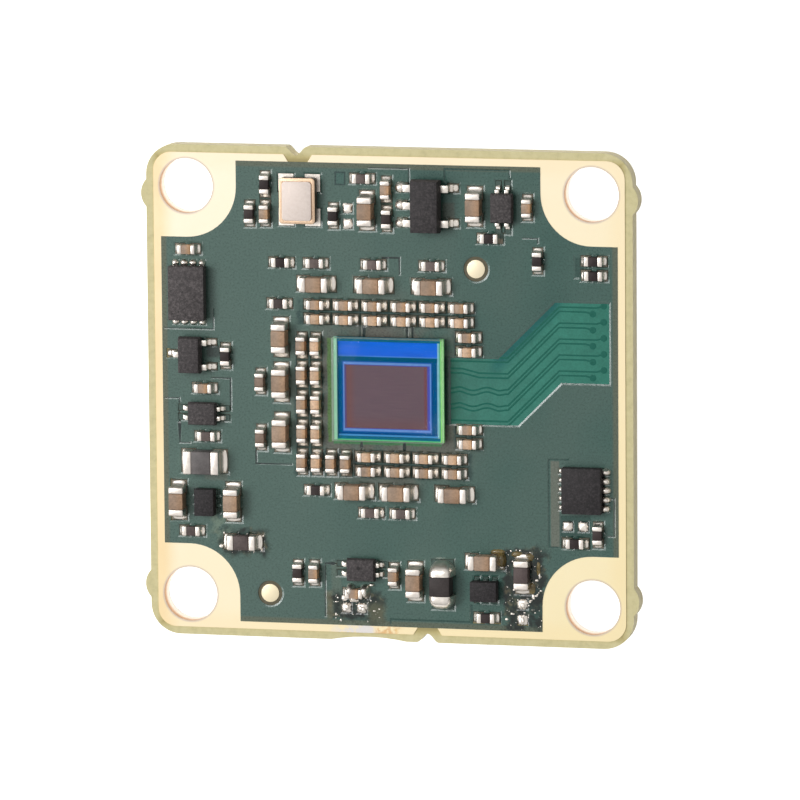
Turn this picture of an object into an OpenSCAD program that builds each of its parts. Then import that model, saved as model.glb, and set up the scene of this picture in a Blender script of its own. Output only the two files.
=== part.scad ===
// Board-level machine vision camera: a bare square circuit board, sensor side up.
// The origin is under the board's centre, at the level that the rear parts rest on.
// +X is the board's right, +Y is its top edge, and +Z points out of the sensor.

/* [Board] */
// Width of the board, left to right
board_w = 27; // [26.5:0.5:40]
// Depth of the board, bottom edge to top edge
board_d = 27; // [26.5:0.5:40]
// Pitch of the grid that the placement lists count in
grid_pitch = 1; // [1:0.01:1.05]
// Thickness of the glass-fibre laminate
board_t = 1; // [0.6:0.1:2]
// Radius of the board's corners
board_corner_r = 1.65; // [0.9:0.05:2.2]
// Diameter of the four mounting holes
hole_d = 3; // [2:0.1:3.4]
// Distance of a hole's centre from both edges
hole_inset = 2.25; // [2.2:0.05:2.8]
// Radius of the bare land around a hole
land_r = 2.8; // [2.3:0.1:3]
// Bare strip of laminate outside the plated border
bare_edge = 0.42; // [0.2:0.02:0.5]
// Width of the plated border
border_w = 0.4; // [0.2:0.05:0.5]
// Radius of the plated border's corners
border_corner_r = 1; // [0.6:0.1:1.6]
// Thickness of the plated copper
plating_t = 0.04; // [0.03:0.01:0.1]
// Thickness of the tinned lands that the parts stand on
land_t = 0.06; // [0.06:0.01:0.12]
// Thickness of the solder mask where it covers copper
mask_t = 0.06; // [0.05:0.01:0.06]
// Depth of the mask's relief where the copper is etched away
relief_depth = 0.03; // [0.01:0.005:0.04]
// Gap between a land and the mask around it
mask_gap = 0.07; // [0.04:0.01:0.12]

/* [Break-off edges] */
// Length of a break-off stub along the edge
stub_l = 1.5; // [1:0.1:2.4]
// How far a stub stands out of the edge
stub_proud = 0.3; // [0.1:0.05:0.5]
// Width of a notch at the edge
notch_w = 1.25; // [0.8:0.05:1.5]
// Depth of a notch
notch_depth = 0.48; // [0.32:0.02:0.52]
// Place of the notch along the top edge
top_notch_x = -5.1; // [-6:0.05:0]
// Place of the notch along the bottom edge
bottom_notch_x = 2.05; // [1.9:0.05:4]
// Width of the gap in the border at a notch
border_gap_w = 1.1; // [0.8:0.1:1.6]
// How much that gap widens towards the edge
border_gap_flare = 0.5; // [0:0.1:0.8]
// How far the gap's middle lies right of the top notch's
border_gap_shift = 0.12; // [0:0.02:0.2]
// Length of the worn hollow in the bottom edge
hollow_l = 4.2; // [2:0.2:4.4]
// Depth of that hollow
hollow_depth = 0.2; // [0.05:0.01:0.3]
// Place of the hollow along the bottom edge
hollow_x = -1.25; // [-4:0.05:-1]

/* [Fiducial marks] */
// Diameter of an alignment dot
fiducial_d = 1; // [0.8:0.05:1.3]
// Width of the clear ring around a dot
fiducial_ring = 0.23; // [0.1:0.01:0.4]

/* [Data lanes] */
// Width of a lane trace
trace_w = 0.11; // [0.08:0.01:0.14]
// Distance between the two traces of a pair
trace_gap = 0.24; // [0.2:0.01:0.3]
// Distance from one pair to the next
pair_pitch = 0.87; // [0.75:0.01:0.95]
// Radius of a lane via
via_r = 0.2; // [0.12:0.01:0.22]
// Width of the etched gaps between copper areas
pour_gap_w = 0.16; // [0.1:0.02:0.24]

/* [Image sensor] */
// Width of the sensor package
sensor_w = 6.13; // [5.7:0.01:6.4]
// Depth of the sensor package
sensor_d = 5.65; // [5:0.05:6.2]
// Height of the solder balls
ball_h = 0.2; // [0.1:0.05:0.35]
// Radius of the solder balls
ball_r = 0.16; // [0.1:0.02:0.22]
// Distance from ball to ball
ball_pitch = 0.7; // [0.6:0.05:0.9]
// Thickness of the silicon die
die_t = 0.15; // [0.1:0.05:0.5]
// Thickness of the cover glass
glass_t = 0.5; // [0.3:0.05:0.8]
// Width of the adhesive dam under the glass
dam_w = 0.22; // [0.1:0.02:0.35]
// Height of the dam
dam_h = 0.06; // [0.04:0.01:0.15]
// Width of the pixel array
array_w = 4.62; // [4:0.02:4.8]
// Depth of the pixel array
array_d = 3.5; // [3:0.02:3.9]
// Thickness of the pixel array and of the shield around it
array_t = 0.02; // [0.01:0.005:0.03]
// Width of the metal shield around the array
shield_w = 0.2; // [0.06:0.02:0.24]

/* [Oscillator] */
// Width of the oscillator's ceramic base
osc_w = 2; // [1.6:0.1:2.1]
// Depth of the oscillator's ceramic base
osc_d = 2.5; // [2:0.1:2.6]
// Height of the ceramic base
osc_base_h = 0.5; // [0.3:0.05:0.8]
// Height of the seal ring on the base
osc_ring_h = 0.08; // [0.05:0.01:0.15]
// Width of the seal ring
osc_ring_w = 0.24; // [0.22:0.01:0.35]
// Thickness of the lid
osc_lid_t = 0.1; // [0.05:0.01:0.2]
// How far the lid's edge stays inside the ring's
osc_lid_inset = 0.18; // [0.05:0.01:0.2]
// Radius of the oscillator's corners
osc_corner_r = 0.2; // [0.1:0.02:0.3]

/* [Small chip parts] */
// Length of a small capacitor or resistor
small_l = 1; // [0.8:0.05:1.1]
// Width of a small capacitor or resistor
small_w = 0.5; // [0.4:0.02:0.6]
// Height of a small capacitor
small_h = 0.5; // [0.3:0.02:0.6]
// Length of its metal ends
small_end = 0.26; // [0.15:0.01:0.32]
// Height of a resistor
resistor_h = 0.35; // [0.25:0.01:0.5]
// Length of a land beyond the small chip's end
small_toe = 0.22; // [0.1:0.01:0.25]

/* [Large chip parts] */
// Length of a large capacitor
large_l = 1.6; // [1.4:0.05:1.75]
// Width of a large capacitor
large_w = 0.8; // [0.6:0.05:0.9]
// Height of a large capacitor
large_h = 0.8; // [0.5:0.05:0.9]
// Length of its metal ends
large_end = 0.38; // [0.25:0.01:0.45]
// Height of the dark ferrite chips of the same size
ferrite_h = 0.55; // [0.35:0.05:0.9]
// Length of a land beyond the large chip's end
large_toe = 0.3; // [0.15:0.01:0.35]

/* [Filter and choke] */
// Length of the filter and of the choke
block_l = 2; // [1.8:0.05:2.2]
// Height of the filter and of the choke
block_h = 0.9; // [0.6:0.05:1.1]
// Length of their metal ends
block_end = 0.46; // [0.3:0.02:0.6]
// Width of the filter
filter_w = 1.25; // [1:0.05:1.4]
// Length of a land beyond the filter's end
filter_toe = 0.3; // [0.15:0.01:0.4]
// Width of the choke
choke_w = 1.14; // [1:0.02:1.3]
// Length of a land, and of its solder dome, beyond the choke's end
choke_toe = 0.36; // [0.2:0.02:0.45]
// Height of the choke's solder domes
choke_dome_h = 0.7; // [0.4:0.05:0.9]

/* [Solder] */
// How high solder climbs up a chip's end
solder_climb = 0.3; // [0.15:0.01:0.35]
// Size of a spare square land
spare_land = 0.48; // [0.3:0.02:0.5]
// Distance between the two lands of a spare pair
spare_pitch = 0.86; // [0.78:0.02:0.95]
// Height of the solder left on a spare land
spare_solder_h = 0.12; // [0.06:0.02:0.2]

/* [Leaded packages] */
// Thickness of a formed lead
lead_t = 0.14; // [0.08:0.01:0.18]
// Length of a lead's foot
foot_l = 0.3; // [0.2:0.01:0.45]
// Length of a land beyond the foot
lead_toe = 0.28; // [0.1:0.01:0.35]
// Gap under a moulded body
body_lift = 0.06; // [0.02:0.01:0.12]
// How much the moulded sides lean in
mould_draft = 0.06; // [0.02:0.01:0.12]
// Five-lead regulator, body size across the leads
reg_w = 1.6; // [1.4:0.05:1.7]
// Five-lead regulator, body size along the row of leads
reg_l = 2.9; // [2.7:0.05:3.1]
// Five-lead regulator, body height
reg_h = 1.05; // [0.8:0.05:1.3]
// Five-lead regulator, size over the lead tips
reg_span = 2.85; // [2.6:0.05:3]
// Five-lead regulator, distance from lead to lead
reg_pitch = 0.95; // [0.85:0.01:1]
// Five-lead regulator, lead width
reg_lead_w = 0.4; // [0.3:0.02:0.5]
// Four-lead regulators, body size along the leads
quad_l = 1.6; // [1.4:0.05:1.7]
// Four-lead regulators, body size across the leads
quad_w = 1.25; // [1.1:0.05:1.35]
// Four-lead regulators, body height
quad_h = 0.6; // [0.45:0.05:0.8]
// Four-lead regulators, size over the lead tips
quad_span = 2.3; // [2.25:0.05:2.4]
// Four-lead regulators, distance between two leads
quad_pitch = 0.52; // [0.48:0.02:0.65]
// Four-lead regulators, lead width
quad_lead_w = 0.24; // [0.16:0.02:0.26]
// Transistor, body size across the leads
trans_w = 1.25; // [1.1:0.05:1.35]
// Transistor, body size along the row of leads
trans_l = 2; // [1.8:0.05:2.2]
// Transistor, body height
trans_h = 0.85; // [0.6:0.05:1]
// Transistor, size over the lead tips
trans_span = 2.2; // [2.05:0.05:2.3]
// Transistor, distance between the two leads on one side
trans_pitch = 1.34; // [1.2:0.02:1.5]
// Transistor, lead width
trans_lead_w = 0.32; // [0.2:0.02:0.4]

/* [Flat packages] */
// Thickness of a flat terminal
flat_t = 0.1; // [0.05:0.01:0.15]
// How far a flat terminal reaches under its body
flat_under = 0.25; // [0.15:0.01:0.3]
// Width of a flat terminal
flat_w = 0.25; // [0.16:0.01:0.28]
// Length of a land beyond a flat terminal
flat_toe = 0.12; // [0.05:0.01:0.2]
// Distance from terminal to terminal
flat_pitch = 0.5; // [0.45:0.01:0.55]
// Memory, body size along its terminals
memory_l = 2.95; // [2.7:0.05:3.1]
// Memory, body size along the row of terminals
memory_w = 2; // [1.9:0.05:2.2]
// Memory, body height
memory_h = 0.6; // [0.4:0.05:0.8]
// Memory, length of a terminal outside the body
memory_reach = 0.12; // [0.05:0.01:0.2]
// Interface driver, body size along its terminals
driver_l = 2.15; // [2:0.05:2.3]
// Interface driver, body size along the row of terminals
driver_w = 2.5; // [2.4:0.05:2.6]
// Interface driver, body height
driver_h = 0.6; // [0.4:0.05:0.8]
// Interface driver, length of a terminal outside the body
driver_reach = 0.14; // [0.08:0.01:0.2]
// Power switches, body size along the terminals
switch_l = 1.08; // [0.95:0.01:1.2]
// Power switches, body size along the row of terminals
switch_w = 1.46; // [1.4:0.02:1.6]
// Power switches, body height
switch_h = 0.65; // [0.4:0.05:0.8]
// Power switches, length of a terminal outside the body
switch_reach = 0.05; // [0.02:0.01:0.12]

/* [Rear connector] */
// Length of the connector's housing
conn_l = 14; // [13.6:0.1:15]
// Width of the connector's housing
conn_w = 4.4; // [4:0.1:5]
// Height of the housing above the laminate
conn_h = 1.5; // [1.3:0.1:2.5]
// Distance of the connector's centre from the right edge
conn_inset = 4.5; // [4:0.1:6]
// Thickness of the housing's side walls
conn_side = 0.6; // [0.4:0.05:0.8]
// Thickness of the housing's end walls
conn_end = 0.8; // [0.5:0.05:1]
// Depth of the connector's socket
socket_depth = 0.9; // [0.6:0.05:1]
// Width of the tongue in the socket
tongue_w = 1.1; // [0.8:0.05:1.3]
// Contacts in one row
contact_count = 15; // [8:1:15]
// Distance from contact to contact
contact_pitch = 0.8; // [0.7:0.05:0.8]
// Width of a contact
contact_w = 0.3; // [0.2:0.02:0.4]
// Thickness of a contact
contact_t = 0.15; // [0.1:0.01:0.2]
// Length of a contact's tail outside the housing
contact_tail = 0.5; // [0.3:0.05:0.7]
// Clearance of a contact in its slot
contact_gap = 0.04; // [0.02:0.01:0.08]
// Height of a hold-down plate above the laminate
hold_down_h = 1; // [0.6:0.05:1.2]
// Width of a hold-down plate
hold_down_w = 2.4; // [1.5:0.1:3.6]

/* [Rear power parts] */
// Size of a square inductor
coil_w = 4; // [3:0.1:4.4]
// Height of an inductor above the laminate
coil_h = 1.5; // [1:0.1:2.5]
// Corner radius of an inductor
coil_corner_r = 0.6; // [0.2:0.05:1]
// Thickness of an inductor's metal ends
coil_end_t = 0.1; // [0.05:0.01:0.15]
// Width of an inductor's metal ends
coil_end_w = 1.1; // [0.8:0.05:1.3]
// Length of an inductor's metal ends
coil_end_l = 3.2; // [2:0.1:3.6]
// Distance of the inductors from the left edge
coil_inset = 4.6; // [4.4:0.1:5]
// Distance of each inductor from the board's middle
coil_y = 4.2; // [3.6:0.1:4.4]
// Converters, body size both ways
converter_w = 2.1; // [1.9:0.05:2.2]
// Converters, body height
converter_h = 0.75; // [0.5:0.05:0.9]

/* [Hidden] */
$fn = 48;

// Margins that the parts share
land_margin = 0.06;
end_lap = 0.015;
gap_lap = 0.2;
notch_lap = 0.1;
notch_steps = 12;
osc_toe = 0.16;
osc_land = [0.84, 0.95];

// Levels of the stack
rear_h = max(conn_h, coil_h);
board_bottom = rear_h;
board_top = board_bottom + board_t;

// Outlines that the border, the mask and the holes share
hole_x = board_w / 2 - hole_inset;
hole_y = board_d / 2 - hole_inset;
plated_w = board_w - 2 * bare_edge;
plated_d = board_d - 2 * bare_edge;
mask_w = plated_w - 2 * border_w;
mask_d = plated_d - 2 * border_w;
stub_r = (stub_l * stub_l / 4 + stub_proud * stub_proud) / (2 * stub_proud);
hollow_r = (hollow_l * hollow_l / 4 + hollow_depth * hollow_depth) / (2 * hollow_depth);

// A place on the board as [x, y, turn], given in grid steps from the centre or from one edge
function from_centre(x, y, turn) = [x * grid_pitch, y * grid_pitch, turn];
function from_left(inset, y, turn) = [inset * grid_pitch - board_w / 2, y * grid_pitch, turn];
function from_right(inset, y, turn) = [board_w / 2 - inset * grid_pitch, y * grid_pitch, turn];
function from_top(x, inset, turn) = [x * grid_pitch, board_d / 2 - inset * grid_pitch, turn];
function from_bottom(x, inset, turn) = [x * grid_pitch, inset * grid_pitch - board_d / 2, turn];

// Break-off stubs as [side, y]
stubs = [
    [-1, board_d / 2 - 2.7 * grid_pitch], [-1, 2.75 * grid_pitch - board_d / 2],
    [1, board_d / 2 - 2.55 * grid_pitch], [1, 2.6 * grid_pitch - board_d / 2]
];

// The pixel array lies lower on the board than the sensor's package
sensor_x = 0.09;
sensor_y = 0.425;
array_x = -0.01;
array_y = 0;
sensor_left = sensor_x - sensor_w / 2;
sensor_right = sensor_x + sensor_w / 2;
sensor_top = sensor_y + sensor_d / 2;
sensor_bottom = sensor_y - sensor_d / 2;
sensor_z = land_t + ball_h;
ball_cols = floor((sensor_w - 2 * ball_r) / ball_pitch) + 1;
ball_rows = floor((sensor_d - 2 * ball_r) / ball_pitch) + 1;

// Rows and columns of chips around the sensor
small_span = small_l + 2 * small_toe;
large_span = large_l + 2 * large_toe;
row_gap = 0.29;
col_gap = 0.164;
large_col_gap = 0.27;
large_gap = 0.48;
left_large_gap = 0.515;
dark_gap = 0.51;
above_dark_gap = 0.47;
corner_gap = 0.315;
row_pitch = small_w + row_gap;
corner_pitch = small_w + corner_gap;
col_pitch = small_span + col_gap;
large_pitch = large_span + large_col_gap;

above_y = sensor_top + 0.655 * grid_pitch + small_w / 2;
above_x = [for (k = [-2.5:1:2.5]) k * col_pitch + 0.02 * grid_pitch];
above_large_y = above_y + row_pitch + small_w / 2 + large_gap + large_w / 2;
above_dark_y = above_large_y + large_w / 2 + above_dark_gap + small_w / 2;
left_x = sensor_left - 0.81 * grid_pitch - small_w / 2;
left_y = [for (k = [0:4]) sensor_top - 0.57 * grid_pitch - k * col_pitch];
left_large_x = left_x - row_pitch - small_w / 2 - left_large_gap - large_w / 2;
left_large_y = [for (k = [0:2]) sensor_top - 0.16 * grid_pitch - k * large_pitch - (k > 1 ? row_gap : 0)];
left_dark_x = left_large_x - large_w / 2 - dark_gap - small_w / 2;
right_x = sensor_right + 0.8 * grid_pitch + small_l / 2;
right_y = [sensor_top + 0.11 * grid_pitch, sensor_bottom + 0.73 * grid_pitch];
corner_x = [for (k = [-1:2]) left_x + k * corner_pitch];
below_start = corner_x[3] + small_w / 2 + 0.24 * grid_pitch + small_span / 2;
below_x = [for (k = [0:3]) below_start + k * col_pitch];
below_y = sensor_bottom - 0.68 * grid_pitch - small_w / 2;
below_large_y = left_y[4] - small_span / 2 - 0.4 * grid_pitch - large_w / 2;
below_large_x = [for (k = [0:2]) k * large_pitch + (k > 1 ? 0.66 - 1.97 : -1.97) * grid_pitch];
below_dark_y = below_large_y - large_w / 2 - dark_gap - small_w / 2;
below_dark_x = [for (k = [0:1]) k * (small_span + row_gap) - 1.04 * grid_pitch];
beside_grid_x = above_x[0] - small_span - 0.63 * grid_pitch;

small_capacitor_spots = [
    for (x = above_x, row = [0:1]) [x, above_y + row * row_pitch, 0],
    for (x = [left_x, left_x - row_pitch], k = [0:3]) [x, left_y[k], 90],
    for (x = corner_x) [x, left_y[4], 90],
    for (x = below_x, row = [0:1]) [x, below_y - row * row_pitch, 0],
    for (y = right_y, row = [0:1]) [right_x, y - row * row_pitch, 0],
    for (y = [0.63, -2.45]) [left_dark_x, y * grid_pitch, 90],
    from_top(-6.8, 3.66, 90),
    from_top(-0.05, 2.2, 90),
    from_top(7.75, 3.02, 90),
    from_left(2.33, 7.81, 0),
    from_left(3.19, 0.19, 0),
    from_bottom(-4.23, 3.65, 90),
    from_bottom(0.22, 3.65, 90),
    from_bottom(-1.96, 2.63, 0)
];
large_capacitor_spots = [
    for (k = [0:2]) [k * large_span + (k - 4) * grid_pitch, above_large_y, 0],
    for (y = left_large_y) [left_large_x, y, 90],
    for (x = below_large_x) [x, below_large_y, 0],
    from_top(-1.13, 3.37, 90),
    from_top(4.86, 3.02, 90),
    from_left(1.67, -6.05, 90),
    from_left(4.73, -6.07, 90),
    from_bottom(1.41, 3.38, 90),
    from_bottom(5.27, 4.6, 0)
];
resistor_spots = [
    for (x = [-5.93, -4.02, -0.81, 2.43]) [x * grid_pitch, above_dark_y, 0],
    for (x = below_dark_x) [x, below_dark_y, 0],
    [beside_grid_x, above_y + row_pitch, 0],
    [below_large_x[0] - (large_span + small_span) / 2 - 0.28 * grid_pitch, below_large_y, 0],
    from_top(-6.8, 2.06, 90),
    from_top(-7.68, 3.69, 90),
    from_top(-3, 3.7, 90),
    from_top(-1.39, 1.63, 0),
    from_top(-0.03, 3.8, 90),
    from_top(5.66, 4.73, 0),
    from_right(5.2, 7.6, 90),
    from_right(2.11, 7.67, 0),
    from_right(2.1, 6.88, 0),
    from_left(4.4, 1.97, 90),
    from_left(3.3, -2.47, 0),
    from_left(2.39, -7.72, 0),
    from_bottom(-5.16, 3.64, 90),
    from_bottom(5.36, 1.51, 0),
    from_right(1.94, -7.24, 90),
    from_right(3.19, -7.74, 0)
];
ferrite_spots = [from_left(5.25, -8.26, 0), from_bottom(7.37, 3.98, 90)];
filter_spots = [from_left(3.13, -3.85, 0)];
choke_spots = [from_bottom(2.93, 3.26, 90)];
spare_spots = [
    from_top(-2.22, 3.7, 90),
    from_right(3.2, -6.82, 0),
    from_bottom(7.35, 1.88, 90),
    from_bottom(-2.05, 1.78, 0)
];
oscillator_spots = [from_top(-4.9, 2.88, 0)];
regulator_spots = [from_top(2.25, 3, 0)];
small_regulator_spots = [
    from_top(6.41, 3.04, 90),
    from_left(3.13, -1.19, 0),
    from_bottom(-1.54, 3.97, 0)
];
transistor_spots = [from_left(2.5, 2.04, 0)];
memory_spots = [from_left(2.35, 5.42, 90)];
driver_spots = [from_right(2.75, -4.79, 0)];
switch_spots = [from_left(3.24, -6.06, 0), from_bottom(5.32, 3.03, 90)];
fiducial_spots = [from_centre(4.87, 7.07, 0), from_bottom(-6.76, 2.44, 0)];

// Rows of leads and terminals along a package's side
reg_left = [-reg_pitch, 0, reg_pitch];
reg_right = [-reg_pitch, reg_pitch];
quad_sides = [-quad_pitch / 2, quad_pitch / 2];
trans_right = [-trans_pitch / 2, trans_pitch / 2];
memory_row = [for (k = [-1.5:1:1.5]) k * flat_pitch];
driver_row = [for (k = [-2:2]) k * flat_pitch];
switch_row = [for (k = [-1:1]) k * flat_pitch];
converter_row = memory_row;

// Etched window of the data lanes, with sides at 45 degrees
lane_top = 5.45;
lane_bottom = 0.9;
lane_drop_top = 3.15;
lane_drop_bottom = 2.4;
lane_bend_top = 9.2;
lane_bend_bottom = 9.6;
lane_end = board_w / 2 - 1.2 * grid_pitch;
lane_start = sensor_right + 0.18 * grid_pitch;
lane_y = 3.27;
lane_drop = 2.85;
lane_bend = 9.45;
via_x = [lane_end - grid_pitch, lane_end - 0.4 * grid_pitch];

// Etched gaps between copper areas, as lines on the board in grid steps
top_line = board_d / 2 / grid_pitch - 1.05;
bottom_line = 1.2 - board_d / 2 / grid_pitch;
left_line = 0.9 - board_w / 2 / grid_pitch;
pour_gaps = [
    [[-1.1, top_line], [1.2, top_line], [1.2, top_line - 0.9]],
    [[3.2, top_line - 0.7], [3.2, top_line], [6.75, top_line], [6.75, top_line - 0.8]],
    [[7.4, 8.82], [8.3, 8.82], [8.3, 8.5]],
    [[-0.4, 7.6], [0.65, 7.6], [0.65, 6.6]],
    [[left_line, 3.42], [-9.8, 3.42], [-9.8, 4.6]],
    [[-10, 0.75], [-8.85, 0.75], [-8.85, -1.1]],
    [[left_line, -0.42], [-11.75, -0.42], [-11.75, -2.87], [-11.1, -2.87]],
    [[-7.45, -3.2], [-7.45, -3.9], [-5.4, -3.9]],
    [[-2.95, -9.3], [-3.65, -9.3], [-3.65, bottom_line]],
    [[0, bottom_line - 0.3], [0, bottom_line], [4.5, bottom_line], [4.5, -11.3]],
    [[10, -3.2], [8.85, -3.2], [8.85, -8], [9.4, -8]],
    [[12, -5.25], [12.45, -5.25], [12.45, -7.3], [12.05, -7.3]]
];

// Etched gaps that run under the sensor, as lines in mm
sensor_gaps = [
    for (x = [-1.6, -1.35, 1.05, 1.35])
        [[x * grid_pitch, sensor_top - gap_lap], [x * grid_pitch, above_y]],
    for (x = [-1.55, 0.85])
        [[x * grid_pitch, below_y], [x * grid_pitch, sensor_bottom + gap_lap]]
];

// Small etched areas as [left, bottom, right, top]
bare_areas = grid_pitch * [[9.4, -8.05, 11.15, -6.15], [10.25, 6.65, 11.1, 7.95]];

// Rear parts, placed as seen from the rear
conn_x = board_w / 2 - conn_inset;
coil_x = coil_inset - board_w / 2;
contact_row = [for (k = [0:contact_count - 1]) (k - (contact_count - 1) / 2) * contact_pitch];
socket_l = conn_l - 2 * conn_end;
socket_w = conn_w - 2 * conn_side;
socket_floor = conn_h - socket_depth;
converter_spots = [for (side = [-1, 1]) [coil_x + coil_w / 2 + 2 * grid_pitch, side * coil_y, 0]];
rear_capacitor_spots = [
    for (side = [-1, 1], k = [0:1])
        [coil_x + coil_w / 2 + 4.4 * grid_pitch + k * (large_w + 2 * row_gap), side * coil_y, 90]
];

// Colours
laminate_colour = [0.82, 0.78, 0.58];
gold_colour = [0.95, 0.86, 0.62];
mask_colour = [0.2, 0.36, 0.31];
solder_colour = [0.86, 0.86, 0.84];
mould_colour = [0.16, 0.15, 0.16];
ceramic_colour = [0.78, 0.58, 0.42];
steel_colour = [0.8, 0.8, 0.78];

// Placing
module on_front() {
    translate([0, 0, board_top]) children();
}
module on_rear() {
    translate([0, 0, board_bottom]) mirror([0, 0, 1]) children();
}
module place(spots) {
    for (s = spots) translate([s[0], s[1], 0]) rotate(s[2]) children();
}
module at_holes() {
    for (x = [-1, 1], y = [-1, 1]) translate([x * hole_x, y * hole_y, 0]) children();
}

// Plane shapes
module rounded_rect(w, d, r) {
    square([w - 2 * r, d], center = true);
    square([w, d - 2 * r], center = true);
    for (x = [-1, 1], y = [-1, 1]) translate([x * (w / 2 - r), y * (d / 2 - r)]) circle(r);
}
module frame_2d(w, d, rim) {
    difference() {
        square([w, d], center = true);
        square([w - 2 * rim, d - 2 * rim], center = true);
    }
}

// A line of constant width with mitred bends
function unit(v) = v / norm(v);
function left_of(v) = [-v[1], v[0]];
function mitre(p, i) =
    let (
        into = unit(i > 0 ? p[i] - p[i - 1] : p[1] - p[0]),
        out = i < len(p) - 1 ? unit(p[i + 1] - p[i]) : into,
        middle = unit(left_of(into) + left_of(out))
    )
    middle / (middle * left_of(into));
function ribbon(p, w) = concat(
    [for (i = [0:len(p) - 1]) p[i] + mitre(p, i) * w / 2],
    [for (i = [len(p) - 1:-1:0]) p[i] - mitre(p, i) * w / 2]
);

// Board outlines
module board_outline() {
    difference() {
        union() {
            rounded_rect(board_w, board_d, board_corner_r);
            for (s = stubs) translate([s[0] * (board_w / 2 + stub_proud - stub_r), s[1]]) circle(stub_r);
        }
        translate([top_notch_x, board_d / 2]) mirror([0, 1]) edge_notch();
        translate([bottom_notch_x, -board_d / 2]) edge_notch();
        translate([hollow_x, hollow_depth - board_d / 2 - hollow_r]) circle(hollow_r, $fn = 360);
    }
}
module edge_notch() {
    half = notch_w / 2;
    polygon([
        [half, -notch_lap], [-half, -notch_lap],
        for (k = [-notch_steps:notch_steps])
            [half * k / notch_steps, notch_depth * (1 + cos(180 * k / notch_steps)) / 2]
    ]);
}
module corner_land(sx, sy) {
    translate([sx * hole_x, sy * hole_y]) circle(land_r);
    translate([sx * (hole_x + (hole_inset - land_r) / 2), sy * (hole_y + hole_inset / 2)])
        square([hole_inset + land_r, hole_inset], center = true);
    translate([sx * (hole_x + hole_inset / 2), sy * (hole_y + (hole_inset - land_r) / 2)])
        square([hole_inset, hole_inset + land_r], center = true);
}
module at_notches() {
    translate([top_notch_x + border_gap_shift, mask_d / 2]) children();
    translate([bottom_notch_x, -mask_d / 2]) mirror([0, 1]) children();
}
module border_gap() {
    inner = border_gap_w / 2;
    outer = inner + border_gap_flare / 2;
    polygon([[-inner, 0], [inner, 0], [outer, border_w], [-outer, border_w]]);
}
module mask_area() {
    difference() {
        square([mask_w, mask_d], center = true);
        for (x = [-1, 1], y = [-1, 1]) corner_land(x, y);
    }
}
module plated_border() {
    difference() {
        rounded_rect(plated_w, plated_d, border_corner_r);
        difference() {
            square([mask_w, mask_d], center = true);
            for (x = [-1, 1], y = [-1, 1]) corner_land(x, y);
        }
        at_notches() border_gap();
        at_holes() circle(d = hole_d);
    }
}

// Lands under the parts, grown by a margin for the openings in the mask
module chip_lands(l, w, end, toe, grow) {
    size = [end + land_margin + toe + 2 * grow, w + land_margin + 2 * grow];
    for (side = [-1, 1])
        translate([side * (l / 2 + (toe - end - land_margin) / 2), 0]) square(size, center = true);
}
module lead_lands(row, side, inner, outer, w, grow) {
    for (y = row)
        translate([side * (inner + outer) / 2, y])
            square([outer - inner + 2 * grow, w + 2 * grow], center = true);
}
module flat_lands(row, half, reach, grow) {
    for (side = [-1, 1])
        lead_lands(row, side, half - flat_under, half + reach + flat_toe, flat_w, grow);
}
module gull_lands(left, right, span, w, grow) {
    inner = span / 2 - foot_l;
    outer = span / 2 + lead_toe;
    lead_lands(left, -1, inner, outer, w + land_margin, grow);
    lead_lands(right, 1, inner, outer, w + land_margin, grow);
}
module spare_lands(grow) {
    for (side = [-1, 1])
        translate([side * spare_pitch / 2, 0]) square(spare_land + 2 * grow, center = true);
}
module oscillator_lands(grow) {
    out = [osc_w / 2 + osc_toe, osc_d / 2 + osc_toe];
    for (x = [-1, 1], y = [-1, 1])
        translate([x * (out[0] - osc_land[0] / 2), y * (out[1] - osc_land[1] / 2)])
            square(osc_land + [2 * grow, 2 * grow], center = true);
}
module at_balls() {
    for (i = [0:ball_cols - 1], j = [0:ball_rows - 1])
        translate([
            sensor_x + (i - (ball_cols - 1) / 2) * ball_pitch,
            sensor_y + (j - (ball_rows - 1) / 2) * ball_pitch,
            0
        ]) children();
}
module front_land_shapes(grow) {
    place(small_capacitor_spots) chip_lands(small_l, small_w, small_end, small_toe, grow);
    place(resistor_spots) chip_lands(small_l, small_w, small_end, small_toe, grow);
    place(large_capacitor_spots) chip_lands(large_l, large_w, large_end, large_toe, grow);
    place(ferrite_spots) chip_lands(large_l, large_w, large_end, large_toe, grow);
    place(filter_spots) chip_lands(block_l, filter_w, block_end, filter_toe, grow);
    place(choke_spots) chip_lands(block_l, choke_w, block_end, choke_toe, grow);
    place(spare_spots) spare_lands(grow);
    place(oscillator_spots) oscillator_lands(grow);
    place(regulator_spots) gull_lands(reg_left, reg_right, reg_span, reg_lead_w, grow);
    place(small_regulator_spots) gull_lands(quad_sides, quad_sides, quad_span, quad_lead_w, grow);
    place(transistor_spots) gull_lands([0], trans_right, trans_span, trans_lead_w, grow);
    place(memory_spots) flat_lands(memory_row, memory_l / 2, memory_reach, grow);
    place(driver_spots) flat_lands(driver_row, driver_l / 2, driver_reach, grow);
    place(switch_spots) flat_lands(switch_row, switch_l / 2, switch_reach, grow);
    at_balls() circle(ball_r + grow);
}
module rear_land_shapes(grow) {
    translate([conn_x, 0]) rotate(90) connector_lands(grow);
    for (side = [-1, 1]) translate([coil_x, side * coil_y]) coil_ends_2d(grow);
    place(converter_spots) flat_lands(converter_row, converter_w / 2, switch_reach, grow);
    place(rear_capacitor_spots) chip_lands(large_l, large_w, large_end, large_toe, grow);
}
module connector_lands(grow) {
    outer = conn_w / 2 + contact_tail + lead_toe / 2;
    inner = socket_w / 2 - contact_t;
    for (x = contact_row, side = [-1, 1])
        translate([x, side * (inner + outer) / 2])
            square([contact_w + land_margin + 2 * grow, outer - inner + 2 * grow], center = true);
    for (side = [-1, 1])
        translate([side * (conn_l / 2 + contact_tail / 2), 0])
            square([contact_tail + 2 * grow, hold_down_w + land_margin + 2 * grow], center = true);
}
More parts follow.
